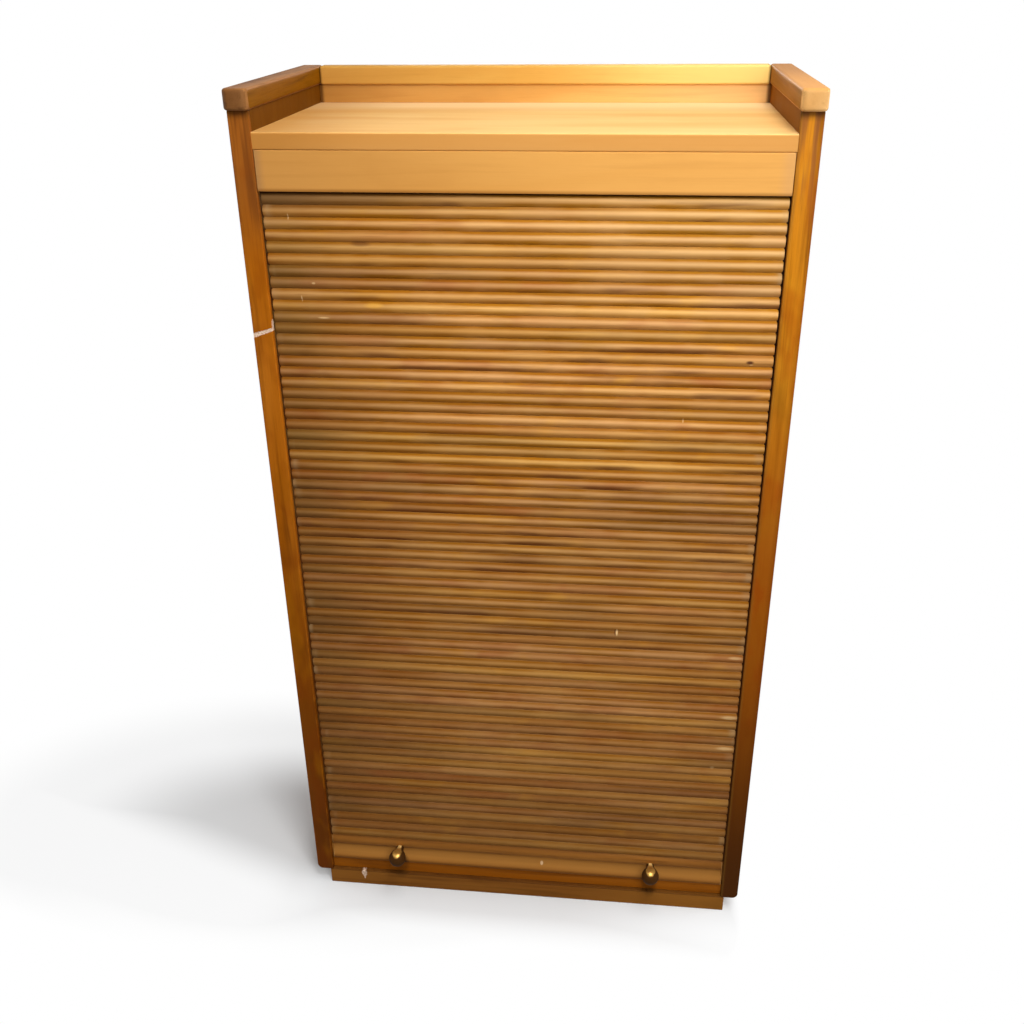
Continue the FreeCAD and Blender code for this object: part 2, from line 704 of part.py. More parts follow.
def check_and_write():
    """Stops on any object that failed, then writes each sub-part as its own file."""
    doc.recompute()
    failed = [o.Name for o in doc.Objects if {"Invalid", "Error"} & set(o.State)]
    if failed:
        raise RuntimeError(f"these did not build: {', '.join(failed)}")
    for label, piece in nodes.items():
        if piece.Shape.isNull() or not piece.Shape.isValid() or not piece.Shape.Solids:
            raise RuntimeError(f"{label} has no sound shape")
    os.makedirs("parts", exist_ok=True)
    for label, piece in nodes.items():
        piece.Shape.exportStep(f"parts/{label}.step")
        box = piece.Shape.BoundBox
        print(f"{label}: {len(piece.Shape.Solids)} solids, x {box.XMin:.1f} {box.XMax:.1f},"
              f" y {box.YMin:.1f} {box.YMax:.1f}, z {box.ZMin:.1f} {box.ZMax:.1f}")


sides()
stiles()
base_frame()
bottom_board()
top_board()
fascia()
gallery()
interior()
back_panel()
lead_rail()
knob("left_knob", -1)
knob("right_knob", 1)
keep("knob_screws", grouped("knob_screws", [knob_screw("left_knob_screw", -1),
                                            knob_screw("right_knob_screw", 1)]))
canvas(slats())
check_and_write()
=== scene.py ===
import math
import random

import bmesh
import bpy
import numpy as np
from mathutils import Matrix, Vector


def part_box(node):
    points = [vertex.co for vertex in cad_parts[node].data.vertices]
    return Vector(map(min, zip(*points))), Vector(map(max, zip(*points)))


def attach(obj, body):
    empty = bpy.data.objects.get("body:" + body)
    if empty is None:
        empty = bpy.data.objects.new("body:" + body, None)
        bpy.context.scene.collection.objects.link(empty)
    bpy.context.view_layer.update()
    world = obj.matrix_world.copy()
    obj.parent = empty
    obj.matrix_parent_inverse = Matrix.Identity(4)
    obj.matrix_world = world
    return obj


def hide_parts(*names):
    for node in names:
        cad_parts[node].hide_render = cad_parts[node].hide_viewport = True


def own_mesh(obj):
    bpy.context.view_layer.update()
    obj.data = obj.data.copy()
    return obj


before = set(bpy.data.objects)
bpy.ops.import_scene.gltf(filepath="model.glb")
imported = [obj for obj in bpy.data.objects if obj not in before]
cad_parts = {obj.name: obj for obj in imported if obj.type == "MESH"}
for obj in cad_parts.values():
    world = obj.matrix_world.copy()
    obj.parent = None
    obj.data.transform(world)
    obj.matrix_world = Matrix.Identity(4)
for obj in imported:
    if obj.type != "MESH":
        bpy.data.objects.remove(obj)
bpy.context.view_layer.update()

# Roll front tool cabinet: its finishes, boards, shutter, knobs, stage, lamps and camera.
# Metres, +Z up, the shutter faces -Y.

MM = 0.001
AXES = {"x": 0, "y": 1, "z": 2}

rail_low, rail_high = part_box("lead_rail")
slat_low, slat_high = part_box("slats_01")
canvas_low, canvas_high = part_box("canvas_backing")
right_low, right_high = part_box("right_side")
knob_low, knob_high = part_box("right_knob")
SIDE_INNER, SIDE_OUTER = right_low.x, right_high.x
KNOB_REACH = (knob_low.x + knob_high.x) / 2
PLINTH_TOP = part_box("plinth_front")[1].z
FASCIA_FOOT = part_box("fascia")[0].z
TRAY_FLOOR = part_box("top_panel")[1].z
CAP_FOOT, CAP_TOP = (corner.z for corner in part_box("left_cap"))


# ---- finishes ------------------------------------------------------------------------

class Value:
    """A shader socket that sums like a number."""

    def __init__(self, finish, socket):
        self.finish = finish
        self.socket = socket

    def maths(self, operation, *values):
        return self.finish.node("ShaderNodeMath", {"operation": operation}, dict(enumerate(values)))

    def __add__(self, other):
        return self.maths("ADD", self, other)

    def __sub__(self, other):
        return self.maths("SUBTRACT", self, other)

    def __rsub__(self, other):
        return self.maths("SUBTRACT", other, self)

    def __mul__(self, other):
        return self.maths("MULTIPLY", self, other)

    __radd__, __rmul__ = __add__, __mul__

    def __truediv__(self, other):
        return self.maths("DIVIDE", self, other)

    def __abs__(self):
        return self.maths("ABSOLUTE", self)

    def wave(self):
        return self.maths("SINE", self)

    def least(self, other):
        return self.maths("MINIMUM", self, other)

    def most(self, other):
        return self.maths("MAXIMUM", self, other)

    def over(self, low, high):
        """0 below low, 1 above high and a soft step between; the other way round if high < low."""
        stops = {1: low, 2: high, 3: 0.0, 4: 1.0}
        return self.finish.node("ShaderNodeMapRange", {"interpolation_type": "SMOOTHSTEP"},
                                {0: self, **stops})


class Finish:
    """A material or the world's light while it is being made."""

    def __init__(self, holder):
        self.holder = holder
        holder.use_nodes = True
        self.tree = holder.node_tree
        self.tree.nodes.clear()

    @classmethod
    def named(cls, name):
        return cls(bpy.data.materials.new(name))

    def node(self, kind, settings=None, sockets=None, out=0):
        """A node of this kind: its settings first, then values or links for its sockets."""
        node = self.tree.nodes.new(kind)
        for key, setting in (settings or {}).items():
            setattr(node, key, setting)
        for key, value in (sockets or {}).items():
            if isinstance(value, Value):
                self.tree.links.new(value.socket, node.inputs[key])
            else:
                node.inputs[key].default_value = value
        return Value(self, node.outputs[out]) if node.outputs else None

    def outputs(self, kind, names, sockets=None):
        """Several outputs of one node."""
        first = self.node(kind, sockets=sockets)
        return [Value(self, first.socket.node.outputs[name]) for name in names]

    def attribute(self, name, out="Vector"):
        return self.node("ShaderNodeAttribute", {"attribute_name": name}, out=out)

    def number(self, name):
        return self.attribute(name, "Fac")

    def place(self):
        """Where a point is in the cabinet, in metres."""
        return self.node("ShaderNodeTexCoord", out="Object")

    def split(self, vector):
        return self.outputs("ShaderNodeSeparateXYZ", ("X", "Y", "Z"), {0: vector})

    def join(self, x, y, z):
        return self.node("ShaderNodeCombineXYZ", sockets={0: x, 1: y, 2: z})

    def stretched(self, vector, factors):
        return self.node("ShaderNodeVectorMath", {"operation": "MULTIPLY"}, {0: vector, 1: factors})

    def noise(self, vector, factors, detail=2.0, rough=0.5, warp=0.0):
        sockets = {"Vector": self.stretched(vector, factors), "Scale": 1.0, "Detail": detail,
                   "Roughness": rough, "Distortion": warp}
        return self.node("ShaderNodeTexNoise", sockets=sockets)

    def length(self, vector):
        return self.node("ShaderNodeVectorMath", {"operation": "LENGTH"}, {0: vector}, out="Value")

    def blend(self, first, second, share):
        return self.node("ShaderNodeMix", {"data_type": "RGBA"}, {0: share, 6: first, 7: second},
                         out=2)

    def steeped(self, colour, tint, share):
        """The colour times a tint, as far as the share goes."""
        return self.node("ShaderNodeMix", {"data_type": "RGBA", "blend_type": "MULTIPLY"},
                         {0: share, 6: colour, 7: tint}, out=2)

    def bump(self, height, depth):
        """Surface normals from a height between 0 and 1, that many metres deep."""
        return self.node("ShaderNodeBump", sockets={"Height": height, "Distance": depth})

    def surface(self, colour, roughness, normal=None, **others):
        sockets = {"Base Color": colour, "Roughness": roughness, **others}
        if normal:
            sockets["Normal"] = normal
        return self.finished(self.node("ShaderNodeBsdfPrincipled", sockets=sockets))

    def spot(self, place, middle, size):
        """How far a place is from a mark's middle, as shares of the mark's half sizes."""
        moved = {0: place, 1: [1 / half if half else 0 for half in size],
                 2: [-at / half if half else 0 for at, half in zip(middle, size)]}
        return self.length(self.node("ShaderNodeVectorMath", {"operation": "MULTIPLY_ADD"}, moved))

    def finished(self, shader, kind="ShaderNodeOutputMaterial"):
        self.node(kind, sockets={"Surface": shader})
        return self.holder


def rgb(red, green, blue):
    """A colour as it is seen, 0 to 255, in the linear values that a shader takes."""
    def linear(value):
        value /= 255
        return value / 12.92 if value <= 0.04045 else ((value + 0.055) / 1.055) ** 2.4
    return (linear(red), linear(green), linear(blue), 1.0)


SHEEN = {"Specular IOR Level": 0.05}    # the old varnish hardly shines


def varnished_wood(name, pale, body, deep, gloss=0.42, figure=1.0, rings=0.0, along=None,
                   foot_dirt_and_shade=0.0, worn=0.5, inward_shade=None, marks=()):
    """Figured board wood under a thin old varnish; along gives the grain from the cabinet's axes."""
    f = Finish.named(name)
    x, y, z = f.split(f.place())
    if along:
        grain = f.join(*[{"x": x, "y": y, "z": z}[axis] for axis in along])
    else:
        grain = f.attribute("grain")
    drift = f.noise(grain, (1.7, 15, 15), detail=2.0, warp=0.5)
    flame = f.noise(grain, (3.2, 80, 80), detail=3.0, rough=0.55, warp=0.9)
    fibre = f.noise(grain, (24, 950, 950), detail=2.0)
    pores = f.noise(grain, (75, 1500, 1500), detail=1.0).over(0.62, 0.74)
    blotch = f.noise(grain, (8, 22, 22), detail=2.0, warp=0.3)
    colour = f.blend(body, pale, drift.over(0.36, 0.66) * 0.75)
    colour = f.blend(colour, deep, blotch.over(0.54, 0.74) * (0.4 * figure))
    colour = f.blend(colour, deep, flame.over(0.48, 0.76) * (0.5 * figure))
    colour = f.blend(colour, deep, (fibre.over(0.45, 0.75) + pores) * (0.14 * figure))
    colour = f.blend(colour, pale, blotch.over(0.44, 0.26) * 0.35)
    if rings:
        years = f.noise(grain, (0.9, 6.5, 6.5), detail=1.0, warp=0.15)
        colour = f.blend(colour, deep, (years * 190).wave().over(-0.2, 1.0) * rings)
    # darker towards the foot: partly dirt, partly painted shade
    if foot_dirt_and_shade:
        colour = f.blend(colour, deep, z.over(0.72, 0.04) * foot_dirt_and_shade)
    if not along:
        rim, end = f.number("rim"), f.number("end")
        rubbed = f.noise(grain, (60, 60, 60), detail=3.0).over(0.42, 0.7)
        colour = f.blend(colour, pale, rim.over(0.35, 1.0) * rubbed * worn)
        colour = f.blend(colour, deep, end * 0.35)
        # painted shade on the faces turned to the cabinet's middle
        if inward_shade:
            colour = f.steeped(colour, inward_shade, f.number("inward_shade"))
    roughness = gloss + fibre * 0.12 + blotch * 0.1
    height = fibre * 0.35 + flame * 0.35 - pores * 0.3
    for mark in marks:
        colour, roughness, height = mark(f, colour, roughness, height)
    return f.surface(colour, roughness, f.bump(height, 0.00012), **SHEEN)


def raw_chip(line_from, line_to, width):
    """A chip through the varnish to pale wood, along a line in the cabinet's X and Z."""
    def mark(f, colour, roughness, height):
        x, _, z = f.split(f.place())
        run, rise = line_to[0] - line_from[0], line_to[1] - line_from[1]
        right, up = x - line_from[0], z - line_from[1]
        along = ((right * run + up * rise) / (run ** 2 + rise ** 2)).most(0.0).least(1.0)
        off = f.length(f.join(right - along * run, 0.0, up - along * rise))
        ragged = f.noise(f.place(), (420, 420, 420), detail=2.0) - 0.5
        broad = width[0] + along * (width[1] - width[0])
        chip = (off / broad + ragged * 0.5).over(0.62, 0.40)
        tone = f.noise(f.place(), (700, 700, 700), detail=2.0)
        pale = f.blend(rgb(238, 212, 188), rgb(200, 156, 124), tone.over(0.4, 0.66))
        return (f.blend(colour, pale, chip), roughness + chip * 0.3, height - chip * 3.0)
    return mark


def grime_and_painted_light(axis, low, high, tint, share, broken=False):
    """A tint that thickens along an axis of the cabinet, perhaps in upright streaks: old wax, dirt and wear
    at some places, painted shade and painted light at others.
    """
    def mark(f, colour, roughness, height):
        thick = f.split(f.place())[AXES[axis]].over(low, high) * share
        if broken:
            thick = thick * f.noise(f.place(), (190, 190, 9), detail=2.0).over(0.40, 0.62)
        return f.blend(colour, tint, thick), roughness, height
    return mark


def mottled(tint, size, share):
    """Patches of another tone under the varnish, longer than they are wide."""
    def mark(f, colour, roughness, height):
        patch = f.noise(f.place(), (size * 2.5, size * 2.5, size), detail=2.0).over(0.50, 0.66)
        return f.blend(colour, tint, patch * share), roughness, height
    return mark


def painted_tray_shade(inner, tint):
    """Painted shade on the inner face of a side board above the top board."""
    def mark(f, colour, roughness, height):
        x, _, z = f.split(f.place())
        inside = x.over(inner * 1.007, inner) * z.over(TRAY_FLOOR - 12.5 * MM, TRAY_FLOOR - 0.5 * MM)
        return f.blend(colour, tint, inside * 0.9), roughness, height
    return mark


def knob_shadow_and_grime(f, colour, share):
    """The dark patch below each knob: a painted shadow of the knob, with some dirt from hands."""
    x, y, z = f.split(f.place())
    off = f.length(f.join((abs(x) - KNOB_REACH) / 0.0145, (y + 0.139) / 0.009, (z - 0.042) / 0.026))
    return f.blend(colour, rgb(44, 24, 6), off.over(1.1, 0.55) * share)


# the knobs' painted shadow and hand dirt, weaker, for the bottom board and plinth
def knob_shadow_and_handling(f, colour, roughness, height):
    return knob_shadow_and_grime(f, colour, 0.45), roughness, height


def slat_wood():
    """Each slat has its own tone, which drifts along it; painted shade, with some wax and dust, darkens its
    edges and the grooves, and painted light and shade follow the shutter's height and its left and right.
    """
    f = Finish.named("slat_wood")
    grain = f.attribute("grain")
    tone, warmth, grey = f.split(f.attribute("tint"))
    side, end, rest = f.number("side"), f.number("end"), f.attribute("rest")
    reach = f.noise(grain, (3.2, 0.9, 1.0), detail=2.0, rough=0.6)
    patch = f.noise(grain, (13, 26, 1.0), detail=2.0, warp=0.3)
    streak = f.noise(grain, (11, 420, 1.0), detail=3.0, rough=0.6)
    fibre = f.noise(grain, (45, 1500, 1.0), detail=2.0)
    wax = f.noise(grain, (9, 3.0, 1.0), detail=3.0, rough=0.6)
    across, _, up = f.split(rest)
    colour = f.blend(rgb(232, 178, 96), rgb(224, 168, 112), warmth)
    shift = tone * 0.5 + reach.over(0.3, 0.7) * 0.5
    colour = f.blend(colour, rgb(168, 112, 54), shift.over(0.25, 1.0) * 0.75)
    colour = f.blend(colour, rgb(184, 108, 64), patch.over(0.5, 0.7) * warmth * 0.5)
    colour = f.blend(colour, rgb(240, 178, 72), patch.over(0.42, 0.26) * 0.35)
    colour = f.blend(colour, rgb(140, 106, 74), grey * reach.over(0.6, 0.36) * 0.7)
    colour = f.blend(colour, rgb(124, 72, 26), streak.over(0.52, 0.76) * 0.32)
    colour = f.blend(colour, rgb(120, 74, 30), fibre.over(0.5, 0.8) * 0.2)
    # painted light on the upper right of the shutter
    colour = f.blend(colour, rgb(244, 202, 144), up.over(0.84, 1.0) * across.over(-0.2, 0.25) * 0.45)
    # painted shade across each slat: darker towards both edges and in the grooves, flatter lower down and
    # lighter at the edges below the top, varied by wax patches
    groove_shade = side.over(0.25, 0.85) * 0.95 + side.over(0.25, -0.60) * 0.72 + 0.1
    even = up.over(0.64, 0.24) * 0.5
    groove_shade = groove_shade * (1 - even) + even * 0.6
    worn = (side.over(0.78, 1.0) + side.over(-0.5, -1.0)) * up.over(1.05, 0.35) * 0.42
    share = (groove_shade - worn) * (0.76 + wax.over(0.3, 0.7) * 0.5)
    colour = f.steeped(colour, rgb(192, 162, 71), share)
    # painted shade: the tongues in the side grooves nearly black
    colour = f.blend(colour, rgb(34, 18, 8), side.over(1.2, 1.4))
    stain = f.noise(grain, (7, 40, 1.0), detail=2.0).over(0.56, 0.68) * side.over(0.6, -0.6)
    colour = f.blend(colour, rgb(84, 38, 24), stain * (up.over(0.20, 0.64) * 0.38 + 0.22))
    shade = across.over(-0.04, -0.33) * (0.6 - up.over(0.88, 1.0) * 0.28 - up.over(0.24, 0.08) * 0.30)
    colour = f.blend(colour, rgb(98, 52, 14), shade)
    colour = f.blend(colour, rgb(100, 80, 40), across.over(-0.20, -0.29) * grey.over(0.1, 0.8) * 0.4)
    # painted shade: darker below the upper part and again towards the foot, more at the left
    colour = f.blend(colour, rgb(100, 54, 22), up.over(0.80, 0.56) * 0.3)
    colour = f.blend(colour, rgb(96, 60, 28), up.over(0.40, 0.10) * (across.over(-0.32, -0.05) * 0.22 + 0.1))
    # painted shadow of the fascia: a darker band on the top slats and a near-black line right under its foot
    colour = f.blend(colour, rgb(92, 62, 36), up.over(1.024, 1.036) * across.over(0.15, -0.25) * 0.55)
    fascia_shadow = up.over(FASCIA_FOOT - 5 * MM, FASCIA_FOOT - 1.8 * MM)
    colour = f.blend(colour, rgb(36, 16, 2), fascia_shadow * 0.85)
    dusty = end.over(0.95, 1.0) * f.noise(grain, (50, 9, 1.0), detail=2.0).over(0.5, 0.7)
    colour = f.blend(colour, rgb(176, 150, 108), dusty * tone * 0.5)
    for x, z, wide, tall, tint, share in SLAT_MARKS:
        off = f.spot(rest, (x, 0, z), (wide, 0, tall))
        colour = f.blend(colour, tint, off.over(1.0, 0.3) * share)
    roughness = 0.5 + fibre * 0.14 + groove_shade * 0.2
    height = fibre * 0.5 + streak * 0.5
    return f.surface(colour, roughness, f.bump(height, 0.00010), **SHEEN)


BRUISE_ON_RAIL = ((0.0269, 0, 0.063), (0.0026, 0, 0.00433))    # its middle and half sizes


def rail_wood():
    """The lead rail: the slats' wood, rubbed more by hands, with one pale bruise, painted highlights on its
    eased ends and in a band on its face, painted shade under its lip and the knobs' painted shadows.
    """
    f = Finish.named("rail_wood")
    grain = f.attribute("grain")
    rim = f.number("rim")
    drift = f.noise(grain, (2.4, 22, 22), detail=2.0, warp=0.4)
    streak = f.noise(grain, (8, 240, 240), detail=3.0, rough=0.6)
    fibre = f.noise(grain, (40, 1300, 1300), detail=2.0)
    colour = f.blend(rgb(158, 102, 42), rgb(130, 80, 30), drift.over(0.3, 0.7))
    colour = f.blend(colour, rgb(100, 56, 20), streak.over(0.5, 0.74) * 0.5)
    # painted shade on the underside of the lip
    colour = f.blend(colour, rgb(92, 48, 12), f.number("lip_shade") * 0.3)
    colour = f.blend(colour, rgb(116, 70, 34), fibre.over(0.5, 0.8) * 0.2)
    # painted highlight on the rail's eased ends
    colour = f.blend(colour, rgb(206, 160, 104), rim * 0.4)
    # painted highlight: a lighter band across the rail's face
    up = f.split(f.place())[2]
    colour = f.blend(colour, rgb(196, 136, 64), up.over(0.079, 0.065) * up.over(0.050, 0.060) * 0.55)
    # the knobs' painted shadows, with hand dirt
    colour = knob_shadow_and_grime(f, colour, 0.88)
    off = f.spot(f.place(), *BRUISE_ON_RAIL)
    colour = f.blend(colour, rgb(232, 196, 150), off.over(1.0, 0.538) * 0.8)
    roughness = 0.42 + fibre * 0.14
    height = fibre * 0.4 + streak * 0.4
    return f.surface(colour, roughness, f.bump(height, 0.00010), **SHEEN)


def aged_brass_and_painted_light():
    """Turned brass: bright on top of its ball, a painted highlight along its neck, and a painted dark
    reflection with some age brown below, in front and at the sides.
    """
    f = Finish.named("aged_brass_and_painted_light")
    patch = f.noise(f.place(), (160, 160, 160), detail=3.0, rough=0.6)
    # painted dark reflection with some age: dark below, in front and at the sides
    age_and_dark_reflection = (f.number("age_and_dark_reflection") + patch * 0.16).over(0.46, 0.66)
    # painted highlight: the neck lighter and less metallic
    neck = f.number("turned").over(0.022, 0.029)
    colour = f.blend(rgb(212, 164, 86), rgb(160, 114, 46), patch.over(0.35, 0.7) * 0.6)
    colour = f.blend(colour, rgb(232, 190, 116), neck)
    colour = f.blend(colour, rgb(68, 40, 12), age_and_dark_reflection)
    scored = f.noise(f.join(f.number("turned"), 0.0, 0.0), (2600, 1, 1), detail=1.0)
    roughness = 0.24 + patch * 0.12 + age_and_dark_reflection * 0.3
    return f.surface(colour, roughness, f.bump(scored, 0.00006),
                     Metallic=(0.7 - age_and_dark_reflection * 0.68) * (1 - neck * 0.7), **SHEEN)


def screw_steel():
    f = Finish.named("screw_steel")
    patch = f.noise(f.place(), (700, 700, 700), detail=3.0)
    colour = f.blend(rgb(150, 144, 136), rgb(112, 88, 66), patch.over(0.45, 0.7))
    colour = f.blend(colour, rgb(34, 28, 22), f.number("slotted"))
    return f.surface(colour, 0.38 + patch * 0.25, Metallic=0.6)


def backing_canvas():
    """Plain-woven cloth, glued to the slats."""
    f = Finish.named("backing_canvas")
    x, y, z = f.split(f.attribute("grain"))
    weave = ((x * 5200).wave() * ((y + z) * 5200).wave()) * 0.5 + 0.5
    soil = f.noise(f.attribute("grain"), (14, 14, 14), detail=4.0, rough=0.6)
    colour = f.blend(rgb(186, 170, 138), rgb(150, 130, 98), weave * 0.6)
    colour = f.blend(colour, rgb(112, 90, 62), soil.over(0.45, 0.8) * 0.5)
    return f.surface(colour, 0.9, f.bump(weave, 0.0002), **SHEEN)


# ---- boards --------------------------------------------------------------------------

WOOD_DRAWS = random.Random(8)


def own_grain(points, along):
    """Texture places for a piece's own wood, with X along its grain."""
    axis = AXES[along]
    others = [a for a in (0, 1, 2) if a != axis]
    shift = np.array([WOOD_DRAWS.uniform(0, 9) for _ in range(3)])
    return points[:, [axis, *others]] + shift


def store(mesh, name, values, domain="POINT"):
    """Keeps a number or a vector at each point or face corner, for the finishes to read."""
    values = np.asarray(values, np.float32)
    kind, key = ("FLOAT_VECTOR", "vector") if values.ndim == 2 else ("FLOAT", "value")
    mesh.attributes.new(name, kind, domain).data.foreach_set(key, values.ravel())


def points_of(mesh):
    points = np.empty(len(mesh.vertices) * 3)
    mesh.vertices.foreach_get("co", points)
    return points.reshape(-1, 3)


def add_piece(name, mesh, finish, body, nodes=(), squashed=False):
    """Puts a piece into the scene, on its body, in place of the nodes that it stands for."""
    mesh.materials.append(finish)
    piece = bpy.data.objects.new(name, mesh)
    bpy.context.scene.collection.objects.link(piece)
    if squashed:
        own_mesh(piece)
    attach(piece, body)
    if nodes:
        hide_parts(*nodes)
    return piece


def smooth(mesh):
    mesh.polygons.foreach_set("use_smooth", [True] * len(mesh.polygons))


def solid_shape(name, points, faces, crease, turned_out=False):
    """A smooth mesh with sharp edges above so many degrees, its faces turned to the outside."""
    mesh = bpy.data.meshes.new(name)
    mesh.from_pydata(points, [], faces)
    if not turned_out:
        bm = bmesh.new()
        bm.from_mesh(mesh)
        bmesh.ops.recalc_face_normals(bm, faces=bm.faces[:])
        bm.to_mesh(mesh)
        bm.free()
    smooth(mesh)
    mesh.set_sharp_from_angle(angle=math.radians(crease))
    return mesh


def even_shading(piece):
    """Keeps flat faces flat beside their eased edges."""
    shading = piece.modifiers.new("even_shading", "WEIGHTED_NORMAL")
    shading.mode = "FACE_AREA"
    shading.weight = 100
    shading.keep_sharp = True


def cut_across(bm, axis, at):
    normal = Vector((0, 0, 0))
    normal[axis] = 1
    everything = bm.verts[:] + bm.edges[:] + bm.faces[:]
    bmesh.ops.bisect_plane(bm, geom=everything, dist=1e-6, plane_co=normal * at, plane_no=normal)


PROUD = 0.3 * MM    # how far the screw heads stand out of the back panel


def board(name, node, finish, along, ease=1.2, corners=(), behind=0.0):
    """A board the size of its node, less a little behind; corners get a larger radius first.

    Each corner is the axis of its edge, a low or high side on the other two, and a radius."""
    low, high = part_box(node)
    high.y -= behind
    bm = bmesh.new()
    bmesh.ops.create_cube(bm, size=1)
    for vertex in bm.verts:
        for axis in range(3):
            vertex.co[axis] = high[axis] if vertex.co[axis] > 0 else low[axis]
    for axis, sides, radius in corners:
        others = [a for a in range(3) if a != AXES[axis]]
        wanted = [(low, high)[side][other] for side, other in zip(sides, others)]
        edges = [e for e in bm.edges
                 if all(abs(v.co[o] - w) < 1e-6 for v in e.verts for o, w in zip(others, wanted))]
        bmesh.ops.bevel(bm, geom=edges, offset=radius * MM, segments=7, profile=0.5,
                        affect="EDGES")
    sharp = [e for e in bm.edges if e.calc_face_angle(0) > 0.7]
    bmesh.ops.bevel(bm, geom=sharp, offset=ease * MM, segments=4, profile=0.5, affect="EDGES")
    rim = max(3.5, ease + 2.0) * MM
    for axis in range(3):
        if high[axis] - low[axis] > 3 * rim:
            cut_across(bm, axis, low[axis] + rim)
            cut_across(bm, axis, high[axis] - rim)
    mesh = bpy.data.meshes.new(name)
    bm.to_mesh(mesh)
    bm.free()
    points = points_of(mesh)
    gaps = np.sort(np.minimum(points - np.array(low), np.array(high) - points), axis=1)
    store(mesh, "rim", np.clip(1 - (gaps[:, 1] - 0.3 * ease * MM) / rim, 0, 1))
    store(mesh, "grain", own_grain(points, along))
    corner_normals = [face.normal for face in mesh.polygons for _ in face.vertices]
    store(mesh, "end", [abs(normal[AXES[along]]) > 0.7 for normal in corner_normals], "CORNER")
    middle = low.x + high.x
    # marks the faces turned to the middle, for their painted shade
    store(mesh, "inward_shade", [normal.x * middle < -0.98 * abs(middle) for normal in corner_normals],
          "CORNER")
    smooth(mesh)
    even_shading(add_piece(f"{name}_board", mesh, finish, "cabinet", [node]))


def tray_woods():
    """The finishes of the fascia, the top board, the upstand behind it and the rear cap rail, with painted
    shade towards the left and in shaded edges and corners, and painted light towards the right.
    """
    fascia = varnished_wood(
        "honey_board", rgb(220, 162, 86), rgb(208, 146, 68), rgb(174, 112, 46), figure=0.35,
        # painted shade towards the left
        marks=[grime_and_painted_light("x", 0.12, -0.31, rgb(156, 100, 42), 0.42),
               grime_and_painted_light("x", -0.283, -0.2935, rgb(150, 110, 74), 0.5),
               grime_and_painted_light("x", 0.276, 0.292, rgb(196, 148, 100), 0.4),
               # painted shade on the fascia's rounded lower edge
               grime_and_painted_light("z", FASCIA_FOOT + 5 * MM, FASCIA_FOOT + 0.4 * MM, rgb(124, 66, 12), 0.6)])
    top = varnished_wood(
        "top_board", rgb(232, 190, 122), rgb(220, 166, 94), rgb(190, 130, 60), figure=0.35,
        marks=[grime_and_painted_light("z", TRAY_FLOOR - 0.3 * MM, TRAY_FLOOR - 1.7 * MM, rgb(196, 130, 56), 0.75),
               grime_and_painted_light("y", 0.04, 0.13, rgb(252, 224, 176), 0.5),
               # painted shade towards the left
               grime_and_painted_light("x", 0.12, -0.31, rgb(156, 100, 42), 0.2),
               grime_and_painted_light("x", -0.15, -0.30, rgb(160, 100, 28), 0.45)])
    # painted shade towards the left; a dark strip at each end by the side caps, dirt in the joint and
    # painted shade in the corner
    ends = [grime_and_painted_light("x", 0.16, -0.30, rgb(150, 96, 36), 0.5)]
    ends += [grime_and_painted_light("x", side * (SIDE_INNER - 7 * MM), side * (SIDE_INNER - 2 * MM),
                   rgb(70, 36, 8), 0.85) for side in (1, -1)]
    upstand = varnished_wood(
        "tan_board", rgb(222, 174, 100), rgb(208, 154, 80), rgb(164, 108, 50), figure=0.7,
        # painted light towards the right, painted shade towards the left
        marks=[grime_and_painted_light("x", 0.05, 0.26, rgb(228, 184, 128), 0.5),
               grime_and_painted_light("x", -0.18, -0.29, rgb(150, 100, 40), 0.5), *ends])
    rear_cap = varnished_wood(
        "gold_board", rgb(222, 178, 92), rgb(208, 156, 72), rgb(164, 108, 40), figure=0.7,
        # painted light towards the right
        marks=[grime_and_painted_light("x", -0.05, 0.25, rgb(240, 212, 132), 0.55), *ends])
    return fascia, top, upstand, rear_cap


